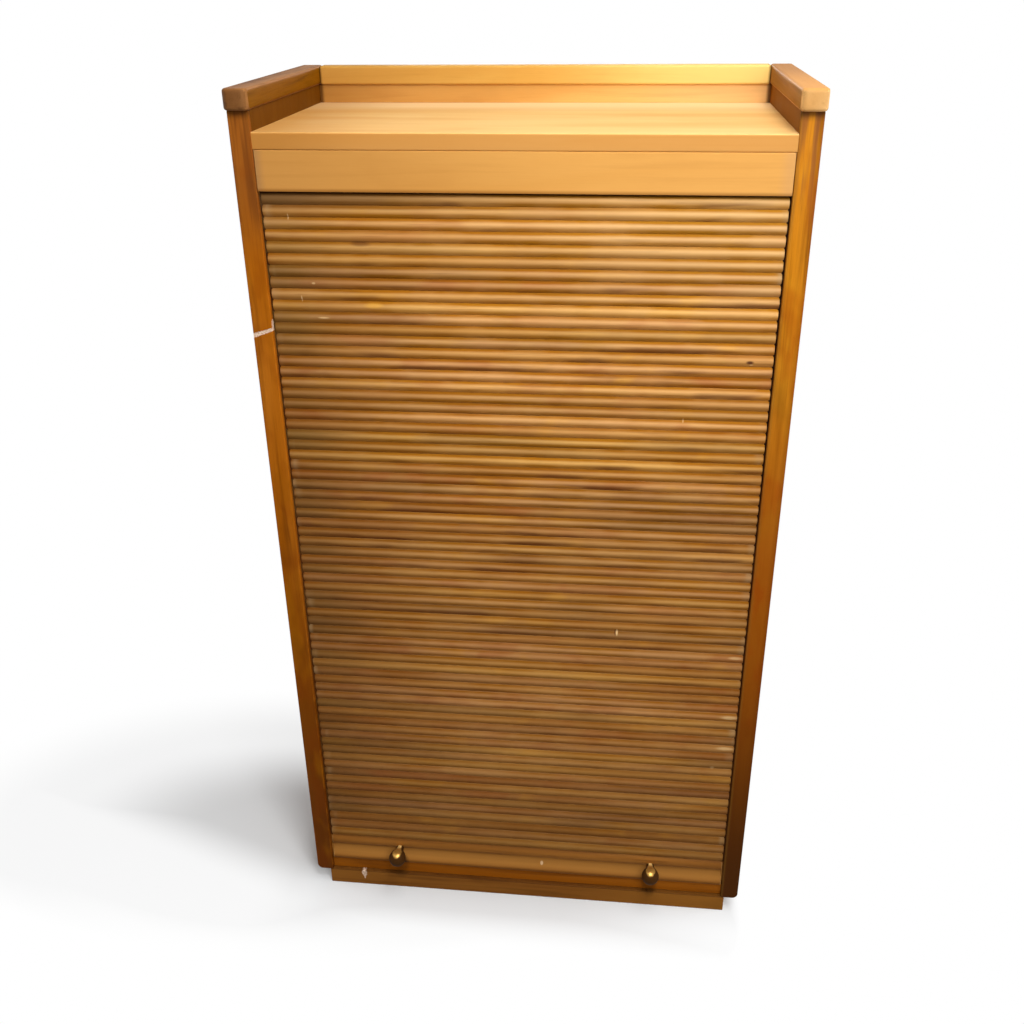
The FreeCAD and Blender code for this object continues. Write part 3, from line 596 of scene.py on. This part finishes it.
def stile_woods():
    """The amber finishes of the left and right stile, with the chip across the left one, the caps' painted
    shadow, and darker lower parts that are partly dirt and partly painted shade.
    """
    # painted shadow of the cap across the stile's top
    cap_shadow = grime_and_painted_light("z", CAP_FOOT - 11.5 * MM, CAP_FOOT - 1.5 * MM, rgb(46, 24, 6), 0.65)
    left = varnished_wood(
        "amber_board_chipped", rgb(190, 112, 28), rgb(164, 88, 4), rgb(88, 40, 0), figure=1.2,
        # darker towards the foot: partly dirt, partly painted shade
        foot_dirt_and_shade=0.85,
        marks=[grime_and_painted_light("z", 0.95, 1.07, rgb(136, 80, 34), 0.5),
               grime_and_painted_light("z", 0.96, 1.06, rgb(90, 44, 16), 0.5, broken=True), cap_shadow,
               # darker below the middle: partly dirt, partly painted shade
               grime_and_painted_light("z", 0.62, 0.48, rgb(70, 30, 0), 0.2),
               mottled(rgb(178, 108, 8), 11, 0.3), mottled(rgb(128, 56, 2), 16, 0.3),
               raw_chip((-0.3215, 0.8804), (-0.2950, 0.8890), (0.0052, 0.0034)),
               raw_chip((-0.2952, 0.8880), (-0.2948, 0.9010), (0.0022, 0.0012))])
    right = varnished_wood(
        "amber_board", rgb(224, 148, 46), rgb(194, 120, 18), rgb(90, 42, 0), figure=1.2,
        marks=[mottled(rgb(214, 158, 36), 9, 0.2),
               # painted shade: darker below the top
               grime_and_painted_light("z", 1.0, 0.55, rgb(136, 62, 0), 0.84),
               mottled(rgb(150, 56, 0), 15, 0.35),
               grime_and_painted_light("x", SIDE_OUTER - 8 * MM, SIDE_OUTER + 1.5 * MM, rgb(104, 44, 0), 0.55),
               # darker towards the foot: partly dirt, partly painted shade
               grime_and_painted_light("z", 0.56, 0.06, rgb(74, 36, 0), 1.0),
               grime_and_painted_light("z", 0.98, 1.10, rgb(132, 78, 40), 0.7, broken=True),
               grime_and_painted_light("x", SIDE_INNER + 4.5 * MM, SIDE_INNER + 0.7 * MM, rgb(122, 84, 30), 0.4),
               cap_shadow])
    return left, right


def cap_woods():
    """The dark left cap rail and the light right one."""
    left = varnished_wood("dark_rail", rgb(152, 104, 58), rgb(130, 84, 44), rgb(74, 42, 16),
                          # painted shade on the cap's inner face
                          figure=1.4, worn=0.35, inward_shade=rgb(226, 208, 20))
    right = varnished_wood(
        "light_rail", rgb(234, 186, 122), rgb(222, 166, 98), rgb(140, 92, 40), figure=0.6,
        # painted shade on the cap's inner face
        inward_shade=rgb(203, 182, 88),
        # painted shade on the cap's top face
        marks=[grime_and_painted_light("z", CAP_TOP - 3.5 * MM, CAP_TOP - 0.6 * MM, rgb(190, 130, 66), 0.8),
               grime_and_painted_light("y", -0.09, 0.10, rgb(142, 90, 42), 0.5)])
    return left, right


def base_woods():
    """The finishes of the bottom board, the base frame and its chipped front board, with the knobs' painted
    shadows and painted light towards the front board's right.
    """
    bottom = varnished_wood("bottom_edge", rgb(178, 104, 24), rgb(154, 84, 12),
                            # the knobs' painted shadows, with hand dirt
                            rgb(100, 52, 8), worn=0.0, marks=[knob_shadow_and_handling])
    ledge = grime_and_painted_light("z", PLINTH_TOP - 2.4 * MM, PLINTH_TOP - 0.8 * MM, rgb(60, 32, 10), 0.6)
    # painted light towards the right; the knobs' painted shadows, with hand dirt
    front_marks = [grime_and_painted_light("x", 0.02, 0.28, rgb(188, 126, 46), 0.3), ledge, knob_shadow_and_handling,
                   raw_chip((-0.2475, 0.0236), (-0.2474, 0.0200), (0.0076, 0.0066)),
                   raw_chip((-0.2474, 0.0200), (-0.2467, 0.0120), (0.0044, 0.0014))]
    plinth, front = (
        varnished_wood(name, rgb(156, 100, 38), rgb(136, 82, 28), rgb(92, 52, 14), gloss=0.46,
                       worn=0.0, marks=marks)
        for name, marks in (("plinth_board", [ledge]), ("plinth_board_chipped", front_marks)))
    return bottom, plinth, front


def carcass():
    fascia, top, upstand, rear_cap = tray_woods()
    bottom, plinth, front_plinth = base_woods()
    # painted shade for each side board's inner face above the top board
    tray_shade_tints = (rgb(92, 50, 0), rgb(140, 84, 8))
    board("top", "top_panel", top, "x", ease=1.8)
    board("fascia", "fascia", fascia, "x", ease=0.6)
    board("gallery_back", "gallery_back", upstand, "x", ease=0.5)
    board("rear_cap", "rear_cap", rear_cap, "x", ease=2.6)
    by_side = zip(("left", "right"), cap_woods(), stile_woods(), tray_shade_tints)
    for outer, (side, cap, stile, tray_shade_tint) in enumerate(by_side):
        inner = 1 - outer
        board(f"{side}_cap", f"{side}_cap", cap, "y", ease=3.4,
              corners=[("z", (0, 0), 8), ("z", (1, 0), 8), ("z", (inner, 1), 6)])
        board(f"{side}_stile", f"{side}_stile", stile, "z", ease=1.2,
              corners=[("y", (outer, 0), 8), ("y", (inner, 0), 3)])
        board(f"{side}_plinth", f"{side}_plinth", plinth, "y", ease=0.8)
        tray = painted_tray_shade(SIDE_INNER * (outer - inner), tray_shade_tint)
        # darker towards the foot, partly dirt and partly painted shade, and painted shade on the inner face
        # above the top board
        upright = varnished_wood(f"{side}_upright", rgb(194, 128, 42), rgb(170, 106, 28),
                                 rgb(104, 58, 10), figure=0.4, rings=0.36, along="zyx",
                                 foot_dirt_and_shade=0.4, marks=[tray])
        dress(f"{side}_side", upright, ease=0.6)
    board("front_plinth", "plinth_front", front_plinth, "x", ease=1.0)
    board("back_plinth", "plinth_back", plinth, "x", ease=1.0)
    board("bottom", "bottom_panel", bottom, "x", ease=0.8)
    plain = varnished_wood("plain_board", rgb(214, 176, 124), rgb(192, 148, 96),
                           rgb(142, 98, 56), gloss=0.6, figure=0.4, rings=0.3)
    for node in ("shelf_1", "shelf_2", "shelf_3", "shelf_4", "inner_top"):
        board(node, node, plain, "x", ease=0.8)
    for node, behind in (("false_back", 0), ("back_panel", PROUD)):
        board(node, node, plain, "z", ease=0.5, behind=behind)
    dress("corner_blocks", plain_blocks(), ease=0.8)


def plain_blocks():
    return varnished_wood("plain_blocks", rgb(210, 172, 122), rgb(186, 144, 94),
                          rgb(140, 98, 58), gloss=0.6, along="xyz")


def dress(node, finish, ease=None):
    """A finish, and perhaps eased edges, for a piece that keeps its own shape."""
    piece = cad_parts[node]
    piece.data.materials.clear()
    piece.data.materials.append(finish)
    if ease:
        bevel = piece.modifiers.new("eased_edges", "BEVEL")
        bevel.width = ease * MM
        bevel.segments = 2
        bevel.limit_method = "ANGLE"
        bevel.angle_limit = math.radians(40)
        even_shading(piece)


# ---- the shutter ---------------------------------------------------------------------

SLAT_PITCH = 13.75 * MM
FOOT_PITCH = 15.5 * MM
FOOT_SLATS = 4
SLAT_PLAY = 0.12 * MM
SLAT_EDGE = 4.4 * MM
BEND_RADIUS = 40 * MM
TONGUE = (0.2 * MM, 5.0 * MM)
BANDS = [f"slats_{number:02d}" for number in range(1, 27)]
SLAT_DRAWS = random.Random(31)
PALE, GOLD, BRUISE = rgb(226, 188, 132), rgb(228, 168, 62), rgb(74, 34, 24)
SLAT_MARKS = (    # place on the shut shutter, size, colour and strength
    (0.1240, 0.4822, 0.0024, 0.0066, BRUISE, 0.5),
    (0.1262, 0.4822, 0.0020, 0.0066, PALE, 0.9),
    (0.2672, 0.8600, 0.0060, 0.0030, BRUISE, 0.9),
    (0.2690, 0.8570, 0.0030, 0.0012, PALE, 0.6),
    (0.1950, 0.7855, 0.0014, 0.0040, PALE, 0.5),
    (-0.2649, 1.0204, 0.0012, 0.0050, PALE, 0.5),
    (-0.2577, 0.9257, 0.0013, 0.0048, PALE, 0.7),
    (-0.2417, 0.9441, 0.0030, 0.0018, PALE, 0.5),
    (-0.2331, 0.9029, 0.0090, 0.0014, PALE, 0.6),
    (-0.1717, 0.9185, 0.0150, 0.0046, GOLD, 0.45),
    (-0.1829, 0.9905, 0.0160, 0.0040, BRUISE, 0.5),
    (0.2834, 0.3530, 0.0150, 0.0040, PALE, 0.55),
    (0.2817, 0.3000, 0.0160, 0.0034, PALE, 0.5),
    (0.2663, 0.2653, 0.0040, 0.0040, PALE, 0.4),
    (0.2832, 0.4506, 0.0120, 0.0030, PALE, 0.45),
)

LEAD_TOP = rail_high.z
SLAT_BACK = slat_high.y
SLAT_THICK = slat_high.y - slat_low.y
TONGUE_END = slat_high.x
SHOULDER = canvas_high.x + 6 * MM
HEADER = canvas_high.z
BEND_HEIGHT = HEADER - BEND_RADIUS


def along_track(distance):
    """The middle of a slat's back this far up the track, and how far it has tipped back."""
    straight = BEND_HEIGHT - LEAD_TOP
    bend = BEND_RADIUS * math.pi / 2
    if distance < straight:
        return SLAT_BACK, LEAD_TOP + distance, 0.0
    if distance < straight + bend:
        tip = (distance - straight) / BEND_RADIUS
        return (SLAT_BACK + BEND_RADIUS * (1 - math.cos(tip)),
                BEND_HEIGHT + BEND_RADIUS * math.sin(tip), tip)
    return SLAT_BACK + BEND_RADIUS + distance - straight - bend, HEADER, math.pi / 2


def slat_places():
    """The track distance of every slat's middle, and its pitch."""
    reached, places = 0.0, []
    end = (BEND_HEIGHT - LEAD_TOP) + BEND_RADIUS * math.pi / 2 + 80 * MM
    while True:
        pitch = FOOT_PITCH if len(places) < FOOT_SLATS else SLAT_PITCH
        if reached + pitch > end:
            return places
        places.append((reached + pitch / 2, pitch))
        reached += pitch


def tube(rings):
    """Faces between rings of as many points each, and then an end face at both ends."""
    count = len(rings[0])
    faces = []
    for row in range(len(rings) - 1):
        for i in range(count):
            a, b = row * count + i, row * count + (i + 1) % count
            faces.append((a, b, b + count, a + count))
    last = (len(rings) - 1) * count
    return faces + [tuple(reversed(range(count))), tuple(range(last, last + count))]


def shifted(faces, first):
    """The same faces for points that come after as many others."""
    return [tuple(i + first for i in face) for face in faces]


def eased_rows(ends, margin, count):
    """Places along a slat or rail and the share of its section there, smaller at its ends."""
    rows = [(-SHOULDER + inset * MM, share) for inset, share in ends]
    rows += [(x, 1.0) for x in np.linspace(-SHOULDER + margin, SHOULDER - margin, count)]
    return rows + [(SHOULDER - inset * MM, share) for inset, share in reversed(ends)]


def slat_section(half):
    """Points round a slat: across its width, and forward from its back."""
    rise = SLAT_THICK - SLAT_EDGE
    radius = (half ** 2 + rise ** 2) / (2 * rise)
    reach = math.asin(half / radius)
    arc = [(radius * math.sin(a), SLAT_THICK - radius + radius * math.cos(a))
           for a in np.linspace(-reach, reach, 15)]
    return [(-half, 0.0), *arc, (half, 0.0)]


def slat(number, distance, pitch):
    """Points, faces and texture values of one slat with its two tongues."""
    half = (pitch - SLAT_PLAY) / 2
    section = slat_section(half)
    depth, height, tip = along_track(distance)
    bow = SLAT_DRAWS.uniform(-0.1, 0.1) * MM
    twist = math.radians(SLAT_DRAWS.uniform(-0.7, 0.7))
    waves = SLAT_DRAWS.uniform(0, 6.28)
    points, grain, sides, ends = [], [], [], []

    def add(x, u, w, across, side, end):
        """A point u across the slat and w forward of its back, and what its finish reads."""
        points.append((x, depth - w * math.cos(tip) + u * math.sin(tip),
                       height + u * math.cos(tip) + w * math.sin(tip)))
        grain.append((x + number * 3.7, across + number * 0.31, number * 1.37))
        sides.append(side)
        ends.append(end)

    rows = eased_rows(((0.0, 0.88), (0.3, 0.95), (0.8, 0.985), (1.6, 1.0)), 12 * MM, 31)
    for x, share in rows:
        sag = bow * math.cos(x / SHOULDER * math.pi / 2) + 0.04 * MM * math.sin(x * 31 + waves)
        turn = twist * math.sin(x * 4.0 + waves)
        for across, forward in section:
            w = max(0.0, SLAT_THICK / 2 + (forward - SLAT_THICK / 2) * share)
            u = across * share - (w - SLAT_THICK) * turn * 0.4 + sag
            side = across / half if forward > SLAT_EDGE * 0.5 else 1.0
            add(x, u, w, across, side, abs(x) / SHOULDER)
    faces = tube([section] * len(rows))
    for side in (-1, 1):
        faces += shifted(tube([range(4)] * 2), len(points))
        for x in (side * (SHOULDER - 1 * MM), side * TONGUE_END):
            for u, w in ((-half, 0), (-half, 1), (half, 1), (half, 0)):
                add(x, u, TONGUE[w], u, 1.5, 0.0)
    tint = [SLAT_DRAWS.random(), SLAT_DRAWS.random(), SLAT_DRAWS.random() ** 1.6]
    return points, faces, {"grain": grain, "side": sides, "end": ends, "tint": [tint] * len(points)}


def slats(finish):
    places = slat_places()
    for band, node in enumerate(BANDS):
        first, last = (len(places) * edge // len(BANDS) for edge in (band, band + 1))
        points, faces, texture = [], [], {}
        for number in range(first, last):
            slat_points, slat_faces, slat_texture = slat(number, *places[number])
            faces += shifted(slat_faces, len(points))
            points += slat_points
            for key, values in slat_texture.items():
                texture.setdefault(key, []).extend(values)
        mesh = solid_shape(node, points, faces, crease=46)
        for key, values in texture.items():
            store(mesh, key, values)
        store(mesh, "rest", points_of(mesh))
        middle = places[(first + last) // 2][0]
        add_piece(f"{node}_wood", mesh, finish, "cabinet", [node],
                  squashed=LEAD_TOP + middle < BEND_HEIGHT + 5 * MM)


def canvas():
    """Cloth behind the slats, from the lead rail over the bend."""
    thick = 0.7 * MM
    line = [(SLAT_BACK, z, 0.0) for z in np.linspace(LEAD_TOP, BEND_HEIGHT, 12)]
    line += [(SLAT_BACK + BEND_RADIUS * (1 - math.cos(tip)), BEND_HEIGHT + BEND_RADIUS * math.sin(tip),
              tip) for tip in np.linspace(0, math.pi / 2, 16)[1:]]
    line.append((canvas_high.y, HEADER, math.pi / 2))
    front = [(y, z) for y, z, _ in line]
    behind = [(y + thick * math.cos(tip), z - thick * math.sin(tip)) for y, z, tip in line]
    outline = front + behind[::-1]
    xs = np.linspace(canvas_low.x, canvas_high.x, 9)
    points = [(x, y, z) for x in xs for y, z in outline]
    *faces, _, _ = tube([outline] * len(xs))
    count = len(line)
    for start in (0, (len(xs) - 1) * len(outline)):
        faces += [(start + i, start + i + 1, start + 2 * count - 2 - i, start + 2 * count - 1 - i)
                  for i in range(count - 1)]
    mesh = solid_shape("canvas", points, faces, crease=40)
    store(mesh, "grain", points_of(mesh))
    add_piece("canvas_cloth", mesh, backing_canvas(), "cabinet", ["canvas_backing"],
              squashed=True)


def rail_section():
    """The lead rail's section from its foot: depth behind the stiles' front, and height."""
    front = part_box("left_stile")[0].y
    foot = rail_low.z

    def arc(start, middle, end, steps):
        """Points on the circle through three points."""
        (ax, ay), (bx, by), (cx, cy) = start, middle, end
        d = 2 * (ax * (by - cy) + bx * (cy - ay) + cx * (ay - by))
        a2, b2, c2 = ax * ax + ay * ay, bx * bx + by * by, cx * cx + cy * cy
        ux = (a2 * (by - cy) + b2 * (cy - ay) + c2 * (ay - by)) / d
        uy = (a2 * (cx - bx) + b2 * (ax - cx) + c2 * (bx - ax)) / d
        radius = math.hypot(ax - ux, ay - uy)
        first, last = math.atan2(ay - uy, ax - ux), math.atan2(cy - uy, cx - ux)
        turn = (last - first + math.pi) % (2 * math.pi) - math.pi
        return [(ux + radius * math.cos(first + turn * i / steps),
                 uy + radius * math.sin(first + turn * i / steps)) for i in range(steps + 1)]

    under = arc((8.0, 0.0), (4.46, 1.46), (3.0, 5.0), 7)
    cove = arc((3.0, 7.0), (6.95, 15.0), (8.5, 24.0), 10)
    bead = arc((8.5, 27.0), (4.8, 36.1), (9.8, 45.2), 14)
    outline = under + cove + bead + [(16.3, 45.2), (16.5, 45.0), (16.5, 0.2), (16.3, 0.0)]
    return [(front + depth * MM, foot + height * MM) for depth, height in outline]


def lead_rail(finish):
    outline = rail_section()
    middle_y, middle_z = (sum(values) / len(outline) for values in zip(*outline))
    rows = eased_rows(((0.0, 0.985), (0.4, 0.995), (1.2, 1.0)), 8 * MM, 41)
    points = [(x, middle_y + (y - middle_y) * share, middle_z + (z - middle_z) * share)
              for x, share in rows for y, z in outline]
    rims = [1.0 if share < 1 else 0.0 for _, share in rows for _ in outline]
    # marks the lip's underside for its painted shade
    lip_shades = [1.0 if z < rail_low.z + 7.5 * MM else 0.0 for _ in rows for _, z in outline]
    faces = tube([outline] * len(rows))
    for side in (-1, 1):
        faces += shifted(tube([range(4)] * 2), len(points))
        points += [(x, SLAT_BACK - TONGUE[w], (rail_low.z, rail_high.z)[top])
                   for x in (side * (SHOULDER - 1 * MM), side * TONGUE_END)
                   for w, top in ((0, 0), (1, 0), (1, 1), (0, 1))]
    unmarked = [0.0] * (len(points) - len(rims))
    mesh = solid_shape("lead_rail", points, faces, crease=40)
    store(mesh, "grain", own_grain(points_of(mesh), "x"))
    store(mesh, "rim", rims + unmarked)
    store(mesh, "lip_shade", lip_shades + unmarked)
    add_piece("lead_rail_wood", mesh, finish, "shutter", ["lead_rail"])


def knob(node, finish):
    """A turned knob: a narrow neck that swells into a ball, flattened a little in front."""
    low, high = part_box(node)
    x, z = (low.x + high.x) / 2, (low.z + high.z) / 2
    ball, neck_from, steps = 12.5, 20.0, 48
    outline = [(ball * (1 - math.cos(a)), ball * math.sin(a))
               for a in (math.radians(degrees) for degrees in range(8, 113, 8))]
    outline += [(18.9, 10.9), (20.8, 10.0), (22.6, 9.0), (24.4, 8.0), (26.2, 7.1), (28.0, 6.4),
                (30.0, 5.9), (32.0, 5.6), (39.0, 5.5)]
    points, turned, age_and_dark_reflection = [(x, low.y, z)], [0.0], [0.74]
    for along, radius in outline:
        tilt = radius / ball if along < neck_from else 0.9
        for step in range(steps):
            a = 2 * math.pi * step / steps
            points.append((x + radius * MM * math.sin(a), low.y + along * MM,
                           z + radius * MM * math.cos(a)))
            turned.append(along * MM)
            # the painted dark reflection, with some age: darker facing down, forward and sideways
            upward, sideways = tilt * math.cos(a), tilt * math.sin(a)
            age_and_dark_reflection.append(0.74 - 0.52 * max(0, upward) ** 2 + 0.5 * sideways ** 2)
    faces = [(0, 1 + (step + 1) % steps, 1 + step) for step in range(steps)]
    *rings, _, root = tube([range(steps)] * len(outline))
    faces += shifted([*rings, root], 1)
    mesh = solid_shape(node, points, faces, crease=50)
    store(mesh, "turned", turned)
    store(mesh, "age_and_dark_reflection", age_and_dark_reflection)
    add_piece(f"{node}_brass", mesh, finish, "shutter", [node])


def shutter():
    slats(slat_wood())
    canvas()
    lead_rail(rail_wood())
    brass = aged_brass_and_painted_light()
    knob("left_knob", brass)
    knob("right_knob", brass)
    dress("knob_screws", screw_steel())


# ---- screws --------------------------------------------------------------------------

SCREW_HEAD, SCREW_SHANK, SCREW_SINK = 4.0 * MM, 1.75 * MM, 2.4 * MM
SCREW_SLOT = 0.55 * MM


def slotted_screw(x, rear, z, tip, turn):
    """Points and faces of a countersunk screw with a slot across its head."""
    half, ring = 13, 26
    lap = math.asin(SCREW_SLOT / SCREW_HEAD)
    angles = np.concatenate([np.linspace(start + lap, start + math.pi - lap, half)
                             for start in (0, math.pi)])
    rings = [(SCREW_HEAD, rear), (SCREW_SHANK, rear - SCREW_SINK), (SCREW_SHANK, tip)]
    points = [(x + r * math.cos(a + turn), y, z + r * math.sin(a + turn))
              for r, y in rings for a in angles]
    rim = (0, half - 1, half, ring - 1)
    floor = range(len(points), len(points) + 4)
    points += [(x + (points[i][0] - x) * 0.88, rear - 0.25 * MM, z + (points[i][2] - z) * 0.88)
               for i in rim]
    faces = [tuple(reversed(part)) for part in (range(half), range(half, ring), floor)]
    faces += [(floor[i], floor[j], rim[j], rim[i]) for i, j in ((0, 1), (2, 3), (1, 2), (3, 0))]
    *sides, _, end = tube([angles] * len(rings))
    return points, [*faces, *sides, end]


def panel_screws():
    low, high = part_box("back_screws")
    points, faces, slotted = [], [], []
    for x in np.linspace(low.x + SCREW_HEAD, high.x - SCREW_HEAD, 5):
        for z in (low.z + SCREW_HEAD, high.z - SCREW_HEAD):
            screw_points, screw_faces = slotted_screw(x, high.y, z, low.y, WOOD_DRAWS.uniform(0, 3.1))
            faces += shifted(screw_faces, len(points))
            points += screw_points
            slotted += [0.0] * (len(screw_points) - 4) + [1.0] * 4
    mesh = solid_shape("panel_screws", points, faces, crease=35, turned_out=True)
    store(mesh, "slotted", slotted)
    add_piece("panel_screws_steel", mesh, screw_steel(), "cabinet", ["back_screws"])


# ---- stage, lamps and camera ---------------------------------------------------------

FLOOR_REACH = 40
FLOOR_GAP = 0.4 * MM    # the floor lies this far below the base frame


def shows_white(f):
    """1 where the camera, a metal or a glass looks at the stage, and 0 for the light it gives."""
    seen = f.outputs("ShaderNodeLightPath",
                     ("Is Camera Ray", "Is Glossy Ray", "Is Transmission Ray"))
    return seen[0].most(seen[1]).most(seen[2])


def floor():
    """A pale floor that keeps the shadow round the cabinet's foot and runs out to white.

    It is white where it is bare: away from the cabinet, thinly in front, less in the left shadow."""
    f = Finish.named("pale_floor")
    x, y, _ = f.split(f.place())
    seen = shows_white(f)
    painted = f.blend(rgb(150, 150, 150), (0.72, 0.73, 0.735, 1.0), seen)
    matt = f.node("ShaderNodeBsdfDiffuse", sockets={"Color": painted})
    white = f.node("ShaderNodeEmission", sockets={"Color": (1, 1, 1, 1), "Strength": 1.0})
    beside = f.length(f.join(((x - 0.295) * 6).most(-0.30 - x).most(0.0),
                             ((-0.142 - y) * 2).most(y - 0.17).most(0.0), 0.0))
    left = f.length(f.join((x + 0.42) / 0.40, (y + 0.045) / 0.25, 0.0))
    faded = left.over(0.3, 0.95) * 0.70 + left.over(1.0, 1.6) * 0.25 + y.over(-0.14, -0.30) * 0.25 + 0.05
    ahead = ((-0.36 - x).most(0.0) * 0.4 - 0.13 - y).over(-0.045, 0.065)
    thin = x.over(-0.20, -0.42) * 0.45 + x.over(0.05, 0.36) * 0.60 + 0.36
    bare = beside.over(0.0, 0.20).least(faded).most(ahead * thin) * seen
    f.finished(f.node("ShaderNodeMixShader", sockets={0: bare, 1: matt, 2: white}))
    mesh = bpy.data.meshes.new("floor")
    corners = [(x * FLOOR_REACH, y * FLOOR_REACH, 0) for x, y in ((-1, -1), (1, -1), (1, 1), (-1, 1))]
    mesh.from_pydata(corners, [], [(0, 1, 2, 3)])
    mesh.materials.append(f.holder)
    piece = bpy.data.objects.new("floor", mesh)
    piece.location.z = -FLOOR_GAP
    bpy.context.scene.collection.objects.link(piece)


def daylight(level):
    """A white backdrop that lights the cabinet at a lower level than it shows."""
    f = Finish(bpy.data.worlds.new("backdrop"))
    strength = shows_white(f) * (1 - level) + level
    shade = f.node("ShaderNodeBackground", sockets={"Color": (1, 1, 1, 1), "Strength": strength})
    bpy.context.scene.world = f.finished(shade, "ShaderNodeOutputWorld")


def softbox(name, place, aim, size, watts):
    lamp = bpy.data.lights.new(name, "AREA")
    lamp.shape = "RECTANGLE"
    lamp.size, lamp.size_y = size
    lamp.energy = watts
    piece = bpy.data.objects.new(name, lamp)
    piece.location = place
    piece.rotation_euler = (Vector(aim) - Vector(place)).to_track_quat("-Z", "Y").to_euler()
    piece.visible_camera = False
    bpy.context.scene.collection.objects.link(piece)


def lamps():
    daylight(0.2)
    softbox("key", (0.32, -1.10, 2.00), (0.0, -0.1, 0.70), (0.45, 0.45), 15.0)
    softbox("fill", (0.60, -1.65, 1.45), (0.0, -0.1, 0.75), (0.6, 0.6), 13.0)
    softbox("overhead", (0.36, -0.38, 2.40), (0.0, 0.0, 0.9), (1.0, 1.0), 16.0)
    softbox("right_side", (2.3, 0.25, 0.90), (0.3, 0.1, 0.6), (0.8, 0.8), 22.0)
    softbox("left_side", (-2.3, 0.25, 0.90), (-0.3, 0.1, 0.6), (0.8, 0.8), 10.0)
    softbox("behind", (-0.2, 2.4, 1.00), (0.0, 0.2, 0.6), (0.9, 0.9), 26.0)


def camera():
    lens = bpy.data.cameras.new("camera")
    lens.sensor_fit = "HORIZONTAL"
    lens.sensor_width = 36
    lens.lens = 38.027
    piece = bpy.data.objects.new("camera", lens)
    piece.location = (0.126501, -1.353582, 1.269952)
    piece.rotation_euler = [math.radians(angle) for angle in (63.33101, 0.60783, 6.17337)]
    bpy.context.scene.collection.objects.link(piece)
    bpy.context.scene.camera = piece


bpy.context.scene.view_settings.view_transform = "Standard"
carcass()
shutter()
panel_screws()
floor()
lamps()
camera()
